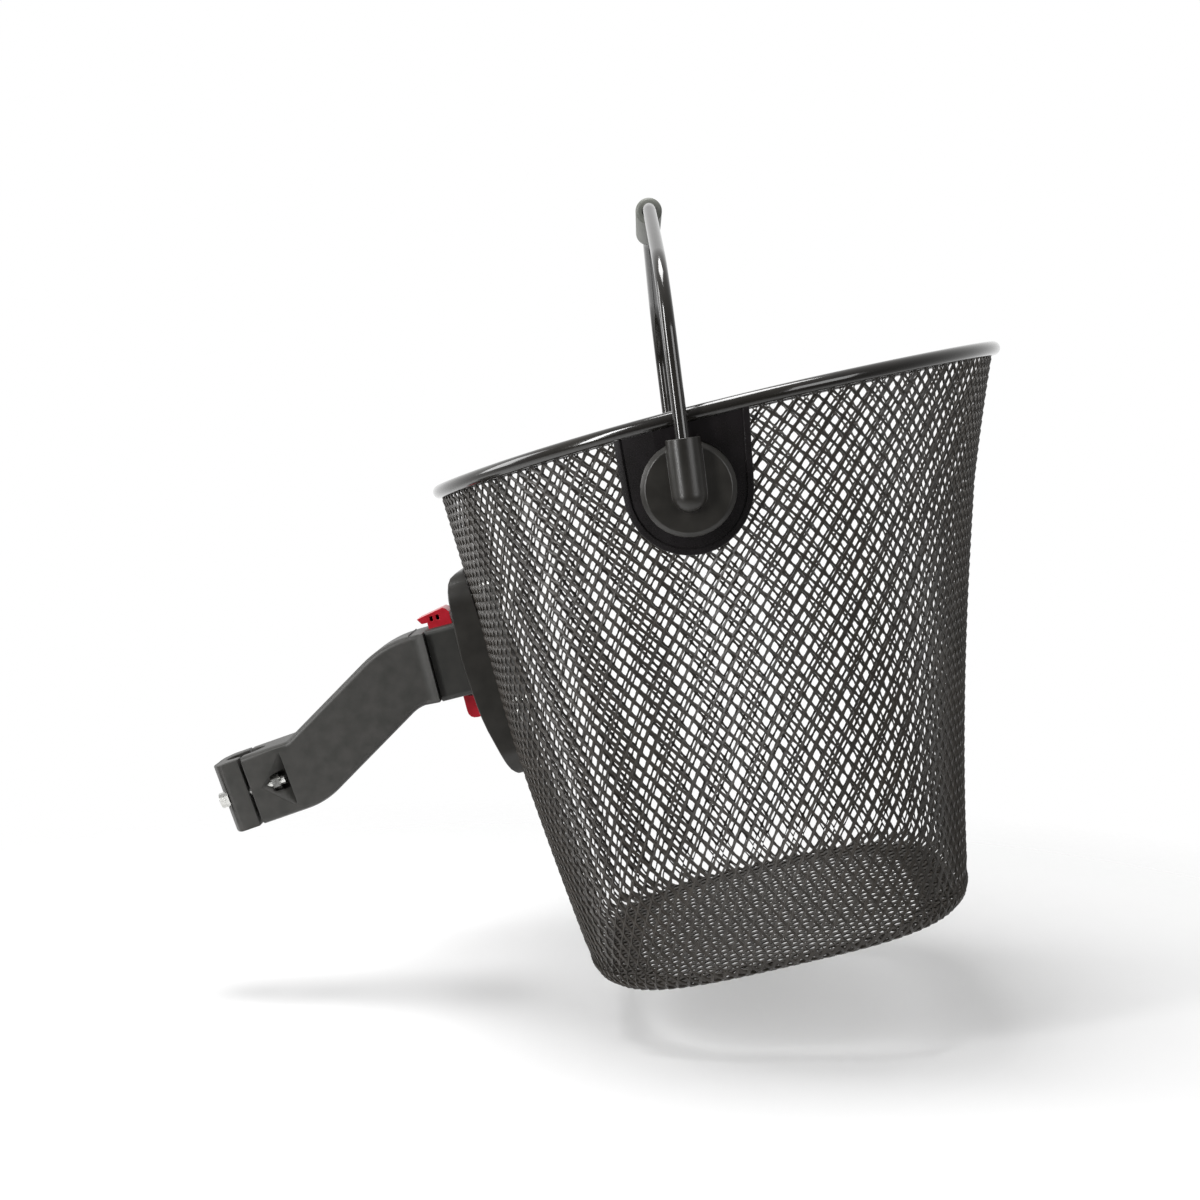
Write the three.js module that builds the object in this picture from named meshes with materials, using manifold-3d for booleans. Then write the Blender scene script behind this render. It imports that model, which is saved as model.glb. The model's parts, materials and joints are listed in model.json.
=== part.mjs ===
// Handlebar basket on a quick-release stem adapter. Millimetres, +Z up.
// The origin is the centre of the stem clamp's bore, +X points forward and +Y to the rider's left.
// Three frames are used. The stem frame stands square to the stem's axis and holds clamp and arm.
// The rim frame lies in the plane of the basket's rim, with its origin at the back of the rim's
// centre line, and holds the head, the latch, the bracket and the basket. The handle frame stands
// on the handle's pivot axis, with +Z along the handle's legs.

import * as THREE from 'three';
import { mergeVertices } from 'three/addons/utils/BufferGeometryUtils.js';
import { ConvexGeometry } from 'three/addons/geometries/ConvexGeometry.js';
import Module from 'manifold-3d';

const wasm = await Module();
wasm.setup();

// Angles in degrees
const stemLean = 19.5;
const basketLean = 14.5;
const armRise = 26.1;
const handleLean = 7.1;

// Fits
const gap = 0.3;
const overrun = 2;
const weld = 0.001;

// Basket tub, measured on the outside of its wall
const rimLength = 301.4;
const rimWidth = 343;
const floorLength = 208.3;
const floorWidth = 260;
const basketHeight = 268;
const rearWallRecess = 10.2;
const cornerRadius = 16;
const wallThickness = 1.6;
const floorThickness = 1.4;
const floorLap = 6;
const ovalPower = 2.1;
const windowRows = 4;
const windowBelowRim = 13;
const windowAboveEnd = 12;
const hoopWidth = 10;
const floorWindowPitch = 34;
const floorBarWidth = 9;
const floorBorder = 6;

// Rim tube, bowed upwards at the sides
const rimRadius = 3.5;
const rimBow = 5.6;
const rimBowSkewShare = 0.3;

// Side plates and handle pivots
const pivotBack = 20.8;
const pivotDepth = 26.7;
const plateThickness = 1.6;
const plateHalfTop = 31.5;
const plateArcRadius = 30;
const plateDrop = 31;
const plateReach = 60;
const plateBeadWidth = 3;
const plateBeadHeight = 1;
const bossRadius = 17;
const discRadius = 22;
const discThickness = 4.8;
const discChamfer = 2.2;
const socketRadius = 8;
const socketRise = 23;
const socketDrop = 2.8;
const socketProud = 0.5;
const pivotScrewRadius = 2.5;
const pivotScrewHeadRadius = 5;
const pivotScrewHeadHeight = 2.8;
const pivotScrewEngage = 4;
const pivotWasherRadius = 9;
const pivotWasherThickness = 1.6;

// Handle
const rodRadius = 3.25;
const rimClearance = 1;
const handleHeight = 138.7;
const handleShoulder = 97;
const shoulderBend = 45;
const handleCrown = 140;
const crownBend = 60;
const rodSeat = 4.6;
const gripRadius = 6.7;
const gripLength = 112;
const gripRound = 2;

// Stem clamp
const boreRadius = 11.1;
const clampHeight = 38;
const clampHalfWidth = 22;
const clampGap = 1.5;
const capSideDepth = 12.6;
const capMiddleDepth = 18;
const capRound = 3;
const boltRadius = 2.5;
const boltOffset = 17.2;
const boltHeadRadius = 4.25;
const boltHeadHeight = 5;
const boltHeadSeat = 12.3;
const boltSocketRadius = 2.3;
const boltSocketDepth = 2.6;
const boltTip = 19.5;
const nutSeat = 12.8;
const nutThickness = 4;
const nutFlats = 8;
const nutRecessRadius = 5.1;
const notchStart = 6.5;
const notchEnd = 22;
const notchHalfHeight = 16;
const notchDepth = 10;

// Arm
const clampToElbow = 31.9;
const elbowToElbow = 73.7;
const elbowToHead = 17.3;
const lowElbowRadius = 24;
const highElbowRadius = 37;
const armEdge = 3;
const collarLength = 8.3;
const collarHalfWidth = 25.5;
const collarStart = 21;
const pocketRoof = 5;
const pocketSide = 4.5;
const pocketRib = 3.2;
const pocketLength = 54;
const pocketCount = 3;

// Bracket on the basket's rear wall
const bracketAboveHead = 26.5;
const bracketHeight = 111.7;
const bracketHalfWidth = 38;
const bracketCorner = 17;
const bracketStandOff = 9;
const lipThickness = 3.5;
const lipHeight = 77;
const bracketFaceShares = [
  [0, 0.02], [0.026, 0.58], [0.094, 0.83], [0.203, 0.91], [0.385, 1],
  [0.573, 0.87], [0.716, 0.69], [0.86, 0.27], [0.962, -0.09], [1, -0.43],
];
const bracketScrewOffset = 30;
const bracketScrewInset = 15;
const bracketScrewRadius = 2;
const bracketScrewHeadRadius = 4;
const bracketScrewHeadHeight = 2.4;
const bracketScrewGrip = 5.5;
const backPlateThickness = 2;
const backPlateMargin = 3;

// Adapter head
const collarStandOff = 27;
const headTopDepth = 69.5;
const headHeight = 39.2;
const neckHalfWidth = 21;
const neckRound = 3;
const tongueHalfWidth = 29;
const tongueThickness = 4.2;
const notchHalfWidth = 7;
const headScrewOffset = 14.4;
const headScrewRadius = 2;
const headScrewHeadRadius = 3.9;
const headScrewHeadHeight = 2.8;
const headScrewLength = 42;

// Release button, latch slider and spring
const buttonTravel = 3;
const buttonFront = 11.9;
const buttonLength = 13;
const buttonHalfWidth = 10.5;
const buttonProud = 9.3;
const buttonBackDrop = 2.6;
const buttonBackReach = 3.1;
const buttonLip = 2;
const buttonNose = 3;
const buttonSkirt = 4.5;
const buttonWall = 1.6;
const buttonRoof = 2.3;
const buttonWindowWidth = 1.6;
const buttonWindowHeight = 2.6;
const buttonWindowPitch = 3.5;
const buttonWindowCount = 2;
const sliderThickness = 3;
const sliderHalfWidth = 5.5;
const latchReach = 14.3;
const latchHeight = 12.5;
const latchRound = 5;
const catchHalfWidth = 5.5;
const catchHeight = 1.5;
const catchRamp = 7;
const springRadius = 2.1;
const springWire = 0.4;
const springTurns = 8;
const springReach = 20.5;

// Facet counts
const ovalFacets = 60;
const facetsPerWindow = 3;
const roundFacets = 32;
const smallFacets = 20;
const screwFacets = 12;
const tubeFacets = 8;
const rodFacets = 10;
const bendFacets = 7;
const cornerFacets = 4;
const springFacets = 8;
const springSides = 5;

const radians = THREE.MathUtils.degToRad;
const point = (x, y, z) => new THREE.Vector3(x, y, z);
const sides = { left: 1, right: -1 };

// Mesh and solid helpers

function faceOutward(geometry) {
  const place = geometry.getAttribute('position');
  const index = geometry.index.array;
  const a = point(0, 0, 0);
  const b = point(0, 0, 0);
  const c = point(0, 0, 0);
  let volume = 0;
  for (let i = 0; i < index.length; i += 3) {
    a.fromBufferAttribute(place, index[i]);
    b.fromBufferAttribute(place, index[i + 1]);
    c.fromBufferAttribute(place, index[i + 2]);
    volume += a.dot(b.cross(c));
  }
  if (volume < 0) index.reverse();
  return geometry;
}

function indexed(points, faces) {
  const geometry = new THREE.BufferGeometry();
  const places = points.flatMap((p) => p.toArray());
  geometry.setAttribute('position', new THREE.Float32BufferAttribute(places, 3));
  geometry.setIndex(faces);
  return faceOutward(geometry);
}

// Rings of equal count are joined in order. A closed loft joins its last ring to its first,
// and an open one is capped with a fan at each end.
function loft(rings, closed = false) {
  const count = rings[0].length;
  const points = rings.flat();
  const faces = [];
  const spans = closed ? rings.length : rings.length - 1;
  for (let i = 0; i < spans; i += 1) {
    const low = i * count;
    const high = ((i + 1) % rings.length) * count;
    for (let j = 0; j < count; j += 1) {
      const k = (j + 1) % count;
      faces.push(low + j, low + k, high + k, low + j, high + k, high + j);
    }
  }
  if (!closed) {
    for (const [ring, turned] of [[0, true], [rings.length - 1, false]]) {
      const middle = points.length;
      points.push(rings[ring].reduce((sum, p) => sum.add(p), point(0, 0, 0)).divideScalar(count));
      for (let j = 0; j < count; j += 1) {
        const here = ring * count + j;
        const next = ring * count + ((j + 1) % count);
        if (turned) faces.push(middle, next, here);
        else faces.push(middle, here, next);
      }
    }
  }
  return indexed(points, faces);
}

function toSolid(geometry) {
  const bare = geometry.clone();
  bare.deleteAttribute('normal');
  bare.deleteAttribute('uv');
  const merged = mergeVertices(bare, weld);
  const index = merged.index.array;
  const kept = [];
  for (let i = 0; i < index.length; i += 3) {
    const [a, b, c] = [index[i], index[i + 1], index[i + 2]];
    if (a !== b && b !== c && c !== a) kept.push(a, b, c);
  }
  return new wasm.Manifold(new wasm.Mesh({
    numProp: 3,
    vertProperties: new Float32Array(merged.getAttribute('position').array),
    triVerts: new Uint32Array(kept),
  }));
}

function toGeometry(solid) {
  const mesh = solid.getMesh();
  const geometry = new THREE.BufferGeometry();
  const places = new THREE.BufferAttribute(new Float32Array(mesh.vertProperties), 3);
  geometry.setAttribute('position', places);
  geometry.setIndex(new THREE.BufferAttribute(new Uint32Array(mesh.triVerts), 1));
  geometry.computeVertexNormals();
  return geometry;
}

function joined(first, ...others) {
  return others.reduce((solid, other) => solid.add(other), first);
}

function cut(first, ...others) {
  return others.reduce((solid, other) => solid.subtract(other), first);
}

function block(x, y, z) {
  const geometry = new THREE.BoxGeometry(x[1] - x[0], y[1] - y[0], z[1] - z[0]);
  geometry.translate((x[0] + x[1]) / 2, (y[0] + y[1]) / 2, (z[0] + z[1]) / 2);
  return toSolid(geometry);
}

function half(width) {
  return [-width, width];
}

// A cylinder between two places on an axis through a point
function bar(axis, centre, from, to, radius, facets = screwFacets) {
  const geometry = new THREE.CylinderGeometry(radius, radius, to - from, facets);
  geometry.translate(0, (from + to) / 2, 0);
  if (axis === 'x') geometry.rotateZ(-Math.PI / 2);
  if (axis === 'z') geometry.rotateX(Math.PI / 2);
  geometry.translate(centre.x, centre.y, centre.z);
  return toSolid(geometry);
}

// A shape drawn in x and z, extruded across y
function sidePrism(shape, y, options = {}) {
  const settings = { depth: y[1] - y[0], bevelEnabled: false, ...options };
  const geometry = new THREE.ExtrudeGeometry(shape, settings);
  geometry.applyMatrix4(new THREE.Matrix4().makeBasis(point(1, 0, 0), point(0, 0, 1), point(0, -1, 0)));
  geometry.translate(0, y[1], 0);
  return toSolid(geometry);
}

// A shape drawn in y and z, extruded along x
function rearPrism(shape, x) {
  const settings = { depth: x[1] - x[0], bevelEnabled: false, curveSegments: bendFacets };
  const geometry = new THREE.ExtrudeGeometry(shape, settings);
  geometry.applyMatrix4(new THREE.Matrix4().makeBasis(point(0, 1, 0), point(0, 0, 1), point(1, 0, 0)));
  geometry.translate(x[0], 0, 0);
  return toSolid(geometry);
}

// A shape drawn in x and y, extruded along z
function planPrism(shape, z) {
  const settings = { depth: z[1] - z[0], bevelEnabled: false, curveSegments: bendFacets };
  const geometry = new THREE.ExtrudeGeometry(shape, settings);
  geometry.translate(0, 0, z[0]);
  return toSolid(geometry);
}

function polygon(points) {
  return new THREE.Shape(points.map(([x, y]) => new THREE.Vector2(x, y)));
}

function roundedBox(x, y, radius) {
  const shape = new THREE.Shape();
  shape.absarc(x[1] - radius, y[1] - radius, radius, 0, Math.PI / 2);
  shape.absarc(x[0] + radius, y[1] - radius, radius, Math.PI / 2, Math.PI);
  shape.absarc(x[0] + radius, y[0] + radius, radius, Math.PI, Math.PI * 1.5);
  shape.absarc(x[1] - radius, y[0] + radius, radius, Math.PI * 1.5, Math.PI * 2);
  return shape;
}

// A round tube through points, with one vector that stays square to the path
function tubeAlong(points, across, radius, facets) {
  const rings = points.map((here, i) => {
    const before = points[Math.max(i - 1, 0)];
    const after = points[Math.min(i + 1, points.length - 1)];
    const along = after.clone().sub(before).normalize();
    const out = along.clone().cross(across).normalize();
    const up = along.clone().cross(out);
    return Array.from({ length: facets }, (unused, k) => {
      const turn = (2 * Math.PI * k) / facets;
      return here.clone()
        .addScaledVector(out, radius * Math.cos(turn))
        .addScaledVector(up, radius * Math.sin(turn));
    });
  });
  return loft(rings);
}

// Where the frames stand, worked out along the arm

const rise = radians(armRise);
const drop = radians(stemLean - basketLean);
const armHalfDepth = clampHeight / 2;
const lowElbow = new THREE.Vector2(clampToElbow, 0);
const highElbow = new THREE.Vector2(
  clampToElbow + elbowToElbow * Math.cos(rise),
  elbowToElbow * Math.sin(rise),
);
const armEnd = new THREE.Vector2(
  highElbow.x + elbowToHead * Math.cos(drop),
  highElbow.y - elbowToHead * Math.sin(drop),
);
const headMiddleDepth = headTopDepth + headHeight / 2;
const headBottomDepth = headTopDepth + headHeight;
const bracketTopDepth = headTopDepth - bracketAboveHead;
const bracketBottomDepth = bracketTopDepth + bracketHeight;
const pivotX = ovalAt(pivotDepth).middle - pivotBack;

const stemFrame = new THREE.Group();
stemFrame.rotation.y = -radians(stemLean);

const headFrame = new THREE.Group();
headFrame.position.set(armEnd.x, 0, armEnd.y);
headFrame.rotation.y = drop;
stemFrame.add(headFrame);

const rimFrame = new THREE.Group();
rimFrame.position.set(collarStandOff, 0, headMiddleDepth);
headFrame.add(rimFrame);

const handleFrame = new THREE.Group();
handleFrame.position.set(pivotX, 0, -pivotDepth);
handleFrame.rotation.y = radians(handleLean);
rimFrame.add(handleFrame);

stemFrame.updateMatrixWorld(true);
const rimToStem = stemFrame.matrixWorld.clone().invert().multiply(rimFrame.matrixWorld);

function fromRimFrame(solid) {
  const geometry = toGeometry(solid);
  geometry.applyMatrix4(rimToStem);
  return toSolid(geometry);
}

// Finishes

function finish(colour, roughness, metalness) {
  return () => new THREE.MeshStandardMaterial({ color: colour, roughness, metalness });
}

const meshPaint = finish(0x1b1a19, 0.45, 0.3);
const glossPaint = finish(0x0e0d0d, 0.22, 0.2);
const plateGloss = finish(0x0b0a0a, 0.2, 0);
const greyMoulding = finish(0x33342f, 0.5, 0);
const armMoulding = finish(0x3a3935, 0.6, 0);
const headMoulding = finish(0x1f1e1c, 0.45, 0);
const redMoulding = finish(0xb8142a, 0.35, 0);
const zincSteel = finish(0xb9bab5, 0.3, 0.9);
const springSteel = finish(0x8d8f8f, 0.35, 0.9);
const gripSleeve = finish(0x3c3d38, 0.55, 0);

function place(frame, name, geometry, material) {
  const mesh = new THREE.Mesh(geometry, material());
  mesh.name = name;
  frame.add(mesh);
}

// Basket tub: a tapered oval, which every piece on the wall is fitted to

function mix(from, to, share) {
  return from + (to - from) * share;
}

function ovalAt(depth) {
  const share = depth / basketHeight;
  return {
    middle: mix(rimLength / 2, rearWallRecess + floorLength / 2, share),
    halfLength: mix(rimLength, floorLength, share) / 2,
    halfWidth: mix(rimWidth, floorWidth, share) / 2,
  };
}

function tubPoint(turn, depth, offset) {
  const { middle, halfLength, halfWidth } = ovalAt(depth);
  const bulge = (value) => Math.sign(value) * Math.abs(value) ** (2 / ovalPower);
  const x = middle + (halfLength + offset) * bulge(Math.cos(turn));
  return point(x, (halfWidth + offset) * bulge(Math.sin(turn)), -depth);
}

// How much of the oval's half size is left, at a share of its other half size
function ovalLeft(share) {
  return (1 - Math.abs(share) ** ovalPower) ** (1 / ovalPower);
}

// The tub's outside at its side, at a place along it
function sideWallAt(x, depth) {
  const { middle, halfLength, halfWidth } = ovalAt(depth);
  return halfWidth * ovalLeft((x - middle) / halfLength);
}

// The tub's outside at its rear, at a place across it
function rearWallAt(across, depth) {
  const { middle, halfLength, halfWidth } = ovalAt(depth);
  return middle - halfLength * ovalLeft(across / halfWidth);
}

const wallEndDepth = basketHeight - cornerRadius;

function cornerPoint(turn, angle, offset) {
  const inset = cornerRadius * (1 - Math.cos(angle));
  const flat = tubPoint(turn, wallEndDepth, 0);
  const middle = tubPoint(turn, wallEndDepth, -inset + offset * Math.cos(angle));
  flat.set(middle.x, middle.y, -wallEndDepth - (cornerRadius + offset) * Math.sin(angle));
  return flat;
}

function bowAt(turn) {
  return rimBow * Math.sin(turn) ** 2 * (1 - rimBowSkewShare * Math.cos(turn));
}

function turns(count) {
  return Array.from({ length: count }, (unused, k) => (2 * Math.PI * k) / count);
}

function ovalRing(shape) {
  return turns(ovalFacets).map(shape);
}

// A solid copy of the tub, grown or shrunk by an offset, to trim pieces against
function tubSolid(offset) {
  const rings = [ovalRing((turn) => tubPoint(turn, -plateReach, offset))];
  rings.push(ovalRing((turn) => tubPoint(turn, wallEndDepth, offset)));
  for (let i = 1; i <= cornerFacets; i += 1) {
    const angle = (Math.PI / 2) * (i / cornerFacets);
    rings.push(ovalRing((turn) => cornerPoint(turn, angle, offset)));
  }
  return toSolid(loft(rings));
}

const wallOutside = tubSolid(gap);
const wallInside = tubSolid(-wallThickness - gap);

// Plain windows stand for the expanded metal's holes: between hoops, two facets are open and one
// is a bar. Row 0 is the uppermost.
const windowPitch = (wallEndDepth - windowBelowRim - windowAboveEnd + hoopWidth) / windowRows;
const windowHeight = windowPitch - hoopWidth;

function windowTop(row) {
  return windowBelowRim + row * windowPitch;
}

// The wall stays whole behind the side plates and between the bracket and its back plate
function isCovered(place) {
  const besidePivot = Math.abs(place.x - pivotX) < plateHalfTop && -place.z < pivotDepth + plateDrop;
  const behindBracket = place.x < rimLength / 2 && Math.abs(place.y) < bracketHalfWidth
    && -place.z > bracketTopDepth && -place.z < bracketBottomDepth;
  return besidePivot || behindBracket;
}

function isWindow(row, facet) {
  if (facet % facetsPerWindow === 1) return false;
  const centre = facetsPerWindow * Math.round((facet + 1 / 2) / facetsPerWindow);
  const top = windowTop(row);
  const places = [centre - 1, centre, centre + 1].flatMap((step) => (
    [top, top + windowHeight].map((depth) => tubPoint((2 * Math.PI * step) / ovalFacets, depth, 0))
  ));
  return !places.some(isCovered);
}

// A shell of panels on a grid: band 0 is the uppermost, and every second band holds windows
function wallShell() {
  const ringTurns = turns(ovalFacets);
  const depths = [ringTurns.map((turn) => rimRadius + gap - bowAt(turn))];
  for (let row = 0; row < windowRows; row += 1) {
    depths.push(ringTurns.map(() => windowTop(row)));
    depths.push(ringTurns.map(() => windowTop(row) + windowHeight));
  }
  depths.push(ringTurns.map(() => wallEndDepth));
  const points = depths.flatMap((ring) => ring.flatMap((depth, k) => [
    tubPoint(ringTurns[k], depth, 0), tubPoint(ringTurns[k], depth, -wallThickness),
  ]));
  const bands = depths.length - 1;
  const wrap = (k) => (k + ovalFacets) % ovalFacets;
  const corner = (ring, k) => 2 * (ring * ovalFacets + wrap(k));
  const isOpen = (band, k) => band < 0 || band === bands
    || (band % 2 === 1 && isWindow((band - 1) / 2, wrap(k)));
  const faces = [];
  const quad = (a, b, c, d) => faces.push(a, b, c, a, c, d);
  for (let band = 0; band < bands; band += 1) {
    for (const k of ringTurns.keys()) {
      if (isOpen(band, k)) continue;
      const outer = [
        corner(band, k), corner(band + 1, k), corner(band + 1, k + 1), corner(band, k + 1),
      ];
      const inner = outer.map((index) => index + 1);
      const openSides = [
        isOpen(band, k - 1), isOpen(band + 1, k), isOpen(band, k + 1), isOpen(band - 1, k),
      ];
      quad(...outer);
      quad(...inner.toReversed());
      openSides.forEach((open, i) => {
        const next = (i + 1) % outer.length;
        if (open) quad(outer[next], outer[i], inner[i], inner[next]);
      });
    }
  }
  return toSolid(indexed(points, faces));
}

function rimTube(radius) {
  const centre = (turn) => tubPoint(turn, -bowAt(turn), 0);
  const step = Math.PI / ovalFacets;
  const sections = turns(ovalFacets).map((turn) => {
    const here = centre(turn);
    const along = centre(turn + step).sub(centre(turn - step)).normalize();
    const out = along.clone().cross(point(0, 0, 1)).normalize();
    const up = out.clone().cross(along);
    return turns(tubeFacets).map((angle) => here.clone()
      .addScaledVector(out, radius * Math.cos(angle))
      .addScaledVector(up, radius * Math.sin(angle)));
  });
  return toSolid(loft(sections, true));
}

// The floor is a shallow tray whose turned-up edge laps inside the wall
function floorTray() {
  const lapOffset = -wallThickness - gap;
  const rings = [];
  for (let i = cornerFacets; i >= 1; i -= 1) {
    const angle = (Math.PI / 2) * (i / cornerFacets);
    rings.push(ovalRing((turn) => cornerPoint(turn, angle, 0)));
  }
  rings.push(ovalRing((turn) => tubPoint(turn, wallEndDepth + gap, 0)));
  rings.push(ovalRing((turn) => tubPoint(turn, wallEndDepth + gap, lapOffset)));
  rings.push(ovalRing((turn) => tubPoint(turn, wallEndDepth - floorLap, lapOffset)));
  rings.push(ovalRing((turn) => tubPoint(turn, wallEndDepth - floorLap, lapOffset - floorThickness)));
  rings.push(ovalRing((turn) => tubPoint(turn, wallEndDepth, lapOffset - floorThickness)));
  for (let i = 2; i <= cornerFacets; i += 1) {
    const angle = (Math.PI / 2) * (i / cornerFacets);
    rings.push(ovalRing((turn) => cornerPoint(turn, angle, -floorThickness)));
  }
  return toSolid(loft(rings));
}

// A grid of square windows, of which those that fit inside the tray's flat are kept. Bars cross in
// the middle, where the floor rests.
function floorWindows() {
  const { middle, halfLength, halfWidth } = ovalAt(basketHeight);
  const border = cornerRadius + floorBorder;
  const reach = (floorWindowPitch - floorBarWidth) / 2;
  const count = 2 * Math.floor(floorWidth / 2 / floorWindowPitch);
  const steps = Array.from({ length: count }, (unused, i) => (i - (count - 1) / 2) * floorWindowPitch);
  const places = steps.flatMap((x) => steps.map((y) => [x, y])).filter(([x, y]) => (
    ((Math.abs(x) + reach) / (halfLength - border)) ** ovalPower
      + ((Math.abs(y) + reach) / (halfWidth - border)) ** ovalPower < 1
  ));
  return places.map(([x, y]) => block(
    [middle + x - reach, middle + x + reach], [y - reach, y + reach],
    [-basketHeight - overrun, -basketHeight + floorThickness + overrun],
  ));
}

// Pivot places

const discBack = rimWidth / 2 + plateThickness + gap;
const discFace = discBack + discThickness;
const rodLine = rimWidth / 2 + rimRadius + rodRadius + rimClearance;
const pivotTip = rodLine + rodRadius - gap;
const rimClear = rimTube(rimRadius + gap);

// Everything above the rim's centre line, all round
function aboveRim() {
  const sections = turns(ovalFacets).map((turn) => {
    const low = -bowAt(turn);
    return [
      tubPoint(turn, low, -plateReach),
      tubPoint(turn, low, plateReach),
      tubPoint(turn, low - plateReach, plateReach),
      tubPoint(turn, low - plateReach, -plateReach),
    ];
  });
  return toSolid(loft(sections, true));
}

const rimAbove = aboveRim();

function span(side, near, far) {
  return side > 0 ? [near, far] : [-far, -near];
}

function pivotBar(side, near, far, radius, facets = screwFacets) {
  const [low, high] = span(side, near, far);
  return bar('y', point(pivotX, 0, -pivotDepth), low, high, radius, facets);
}

// Shield outline of a side plate, drawn in x and z of the rim frame
function plateOutline(inset) {
  const lean = radians(handleLean);
  const turned = (u, w) => [
    pivotX + u * Math.cos(lean) + w * Math.sin(lean),
    -pivotDepth - u * Math.sin(lean) + w * Math.cos(lean),
  ];
  const topHalf = 2 * plateHalfTop - plateArcRadius - inset;
  const points = [turned(-topHalf, 2 * plateArcRadius)];
  for (let i = 0; i <= ovalFacets / 4; i += 1) {
    const angle = Math.PI * (1 + i / (ovalFacets / 4));
    const reach = plateArcRadius - inset;
    const across = reach * Math.cos(angle);
    points.push(turned(across, (plateDrop - inset) * Math.sin(angle)));
  }
  points.push(turned(topHalf, 2 * plateArcRadius));
  return polygon(points);
}

function sidePlate(side) {
  const reach = span(side, rimWidth / 2 - plateReach, rimWidth / 2 + plateReach);
  const shield = sidePrism(plateOutline(0), reach);
  const inner = sidePrism(plateOutline(plateBeadWidth), reach);
  const sheet = shield.intersect(tubSolid(gap + plateThickness));
  const bead = cut(shield, inner).intersect(tubSolid(gap + plateThickness + plateBeadHeight));
  const boss = pivotBar(side, rimWidth / 2 - plateReach, discBack - gap, bossRadius, roundFacets);
  const bore = pivotBar(side, rimWidth / 2 - plateReach, discFace, pivotScrewRadius + gap);
  return cut(joined(sheet, bead, boss), wallOutside, rimAbove, rimClear, bore);
}

function pivotDisc(side) {
  const profile = [
    [0, discBack], [discRadius, discBack], [discRadius, discFace - discChamfer],
    [discRadius - discChamfer, discFace], [0, discFace],
  ].map(([r, y]) => new THREE.Vector2(r, y));
  const disc = toSolid(new THREE.LatheGeometry(profile, roundFacets));
  const socketLine = discFace + socketProud;
  const barrel = bar('z', point(0, socketLine, 0), -socketDrop, socketRise, socketRadius, smallFacets);
  const ball = new THREE.SphereGeometry(socketRadius, smallFacets, smallFacets / 2);
  ball.rotateX(Math.PI / 2);
  ball.translate(0, socketLine, -socketDrop);
  const behind = block(half(discRadius), [0, discBack], half(discRadius + socketRise));
  const bore = bar('z', point(0, rodLine, 0), rodSeat - gap, socketRise + overrun, rodRadius + gap);
  const screwHole = bar('y', point(0, 0, 0), discBack - overrun, pivotTip + gap, pivotScrewRadius + gap);
  const solid = cut(joined(disc, barrel, toSolid(ball)), behind, bore, screwHole);
  if (side > 0) return solid;
  const geometry = toGeometry(solid);
  geometry.rotateZ(Math.PI);
  return toSolid(geometry);
}

// Inside the basket, a shaped washer and a screw carry each disc

const washerSeat = sideWallAt(pivotX, pivotDepth) - wallThickness - gap
  - pivotWasherThickness - pivotWasherRadius / 4;

function pivotWasher(side) {
  const disc = pivotBar(side, washerSeat, rimWidth / 2, pivotWasherRadius, smallFacets);
  const bore = pivotBar(side, washerSeat - overrun, rimWidth / 2, pivotScrewRadius + gap);
  return cut(disc.intersect(wallInside), bore);
}

function pivotScrew(side) {
  const seat = washerSeat - gap;
  const head = pivotBar(side, seat - pivotScrewHeadHeight, seat, pivotScrewHeadRadius);
  const shank = pivotBar(side, seat - gap, pivotTip, pivotScrewRadius);
  return joined(head, shank);
}

// Handle: one bent rod with a sleeve on its middle

// Points of the arc that rounds the corner between two straight stretches
function roundedCorner(before, corner, after, radius) {
  const back = before.clone().sub(corner).normalize();
  const onwards = after.clone().sub(corner).normalize();
  const halfAngle = back.angleTo(onwards) / 2;
  const middle = back.clone().add(onwards).normalize();
  const centre = middle.multiplyScalar(radius / Math.sin(halfAngle)).add(corner);
  const start = back.multiplyScalar(radius / Math.tan(halfAngle)).add(corner).sub(centre);
  const axis = start.clone().cross(corner.clone().sub(centre)).normalize();
  const sweep = Math.PI - 2 * halfAngle;
  const count = Math.ceil(bendFacets * (sweep / (Math.PI / 2)));
  return Array.from({ length: count + 1 }, (unused, i) => (
    start.clone().applyAxisAngle(axis, sweep * (i / count)).add(centre)
  ));
}

// Straight legs, sloping shoulders and a level crown that carries the grip
function handlePath() {
  const corners = [
    [-rodLine, rodSeat], [-rodLine, handleShoulder], [-handleCrown / 2, handleHeight],
    [handleCrown / 2, handleHeight], [rodLine, handleShoulder], [rodLine, rodSeat],
  ].map(([y, z]) => point(0, y, z));
  const bends = [shoulderBend, crownBend, crownBend, shoulderBend];
  const arcs = bends.flatMap((radius, i) => roundedCorner(...corners.slice(i, i + 3), radius));
  return [corners[0], ...arcs, corners.at(-1)];
}

function gripTube() {
  const end = gripLength / 2;
  const bore = rodRadius + gap;
  const profile = [
    [bore, -end], [gripRadius - gripRound, -end], [gripRadius, gripRound - end],
    [gripRadius, end - gripRound], [gripRadius - gripRound, end], [bore, end], [bore, -end],
  ].map(([r, y]) => new THREE.Vector2(r, y));
  const geometry = new THREE.LatheGeometry(profile, smallFacets);
  geometry.translate(0, 0, handleHeight);
  return toSolid(geometry);
}

// Stem clamp and arm, drawn in the stem frame

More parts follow.
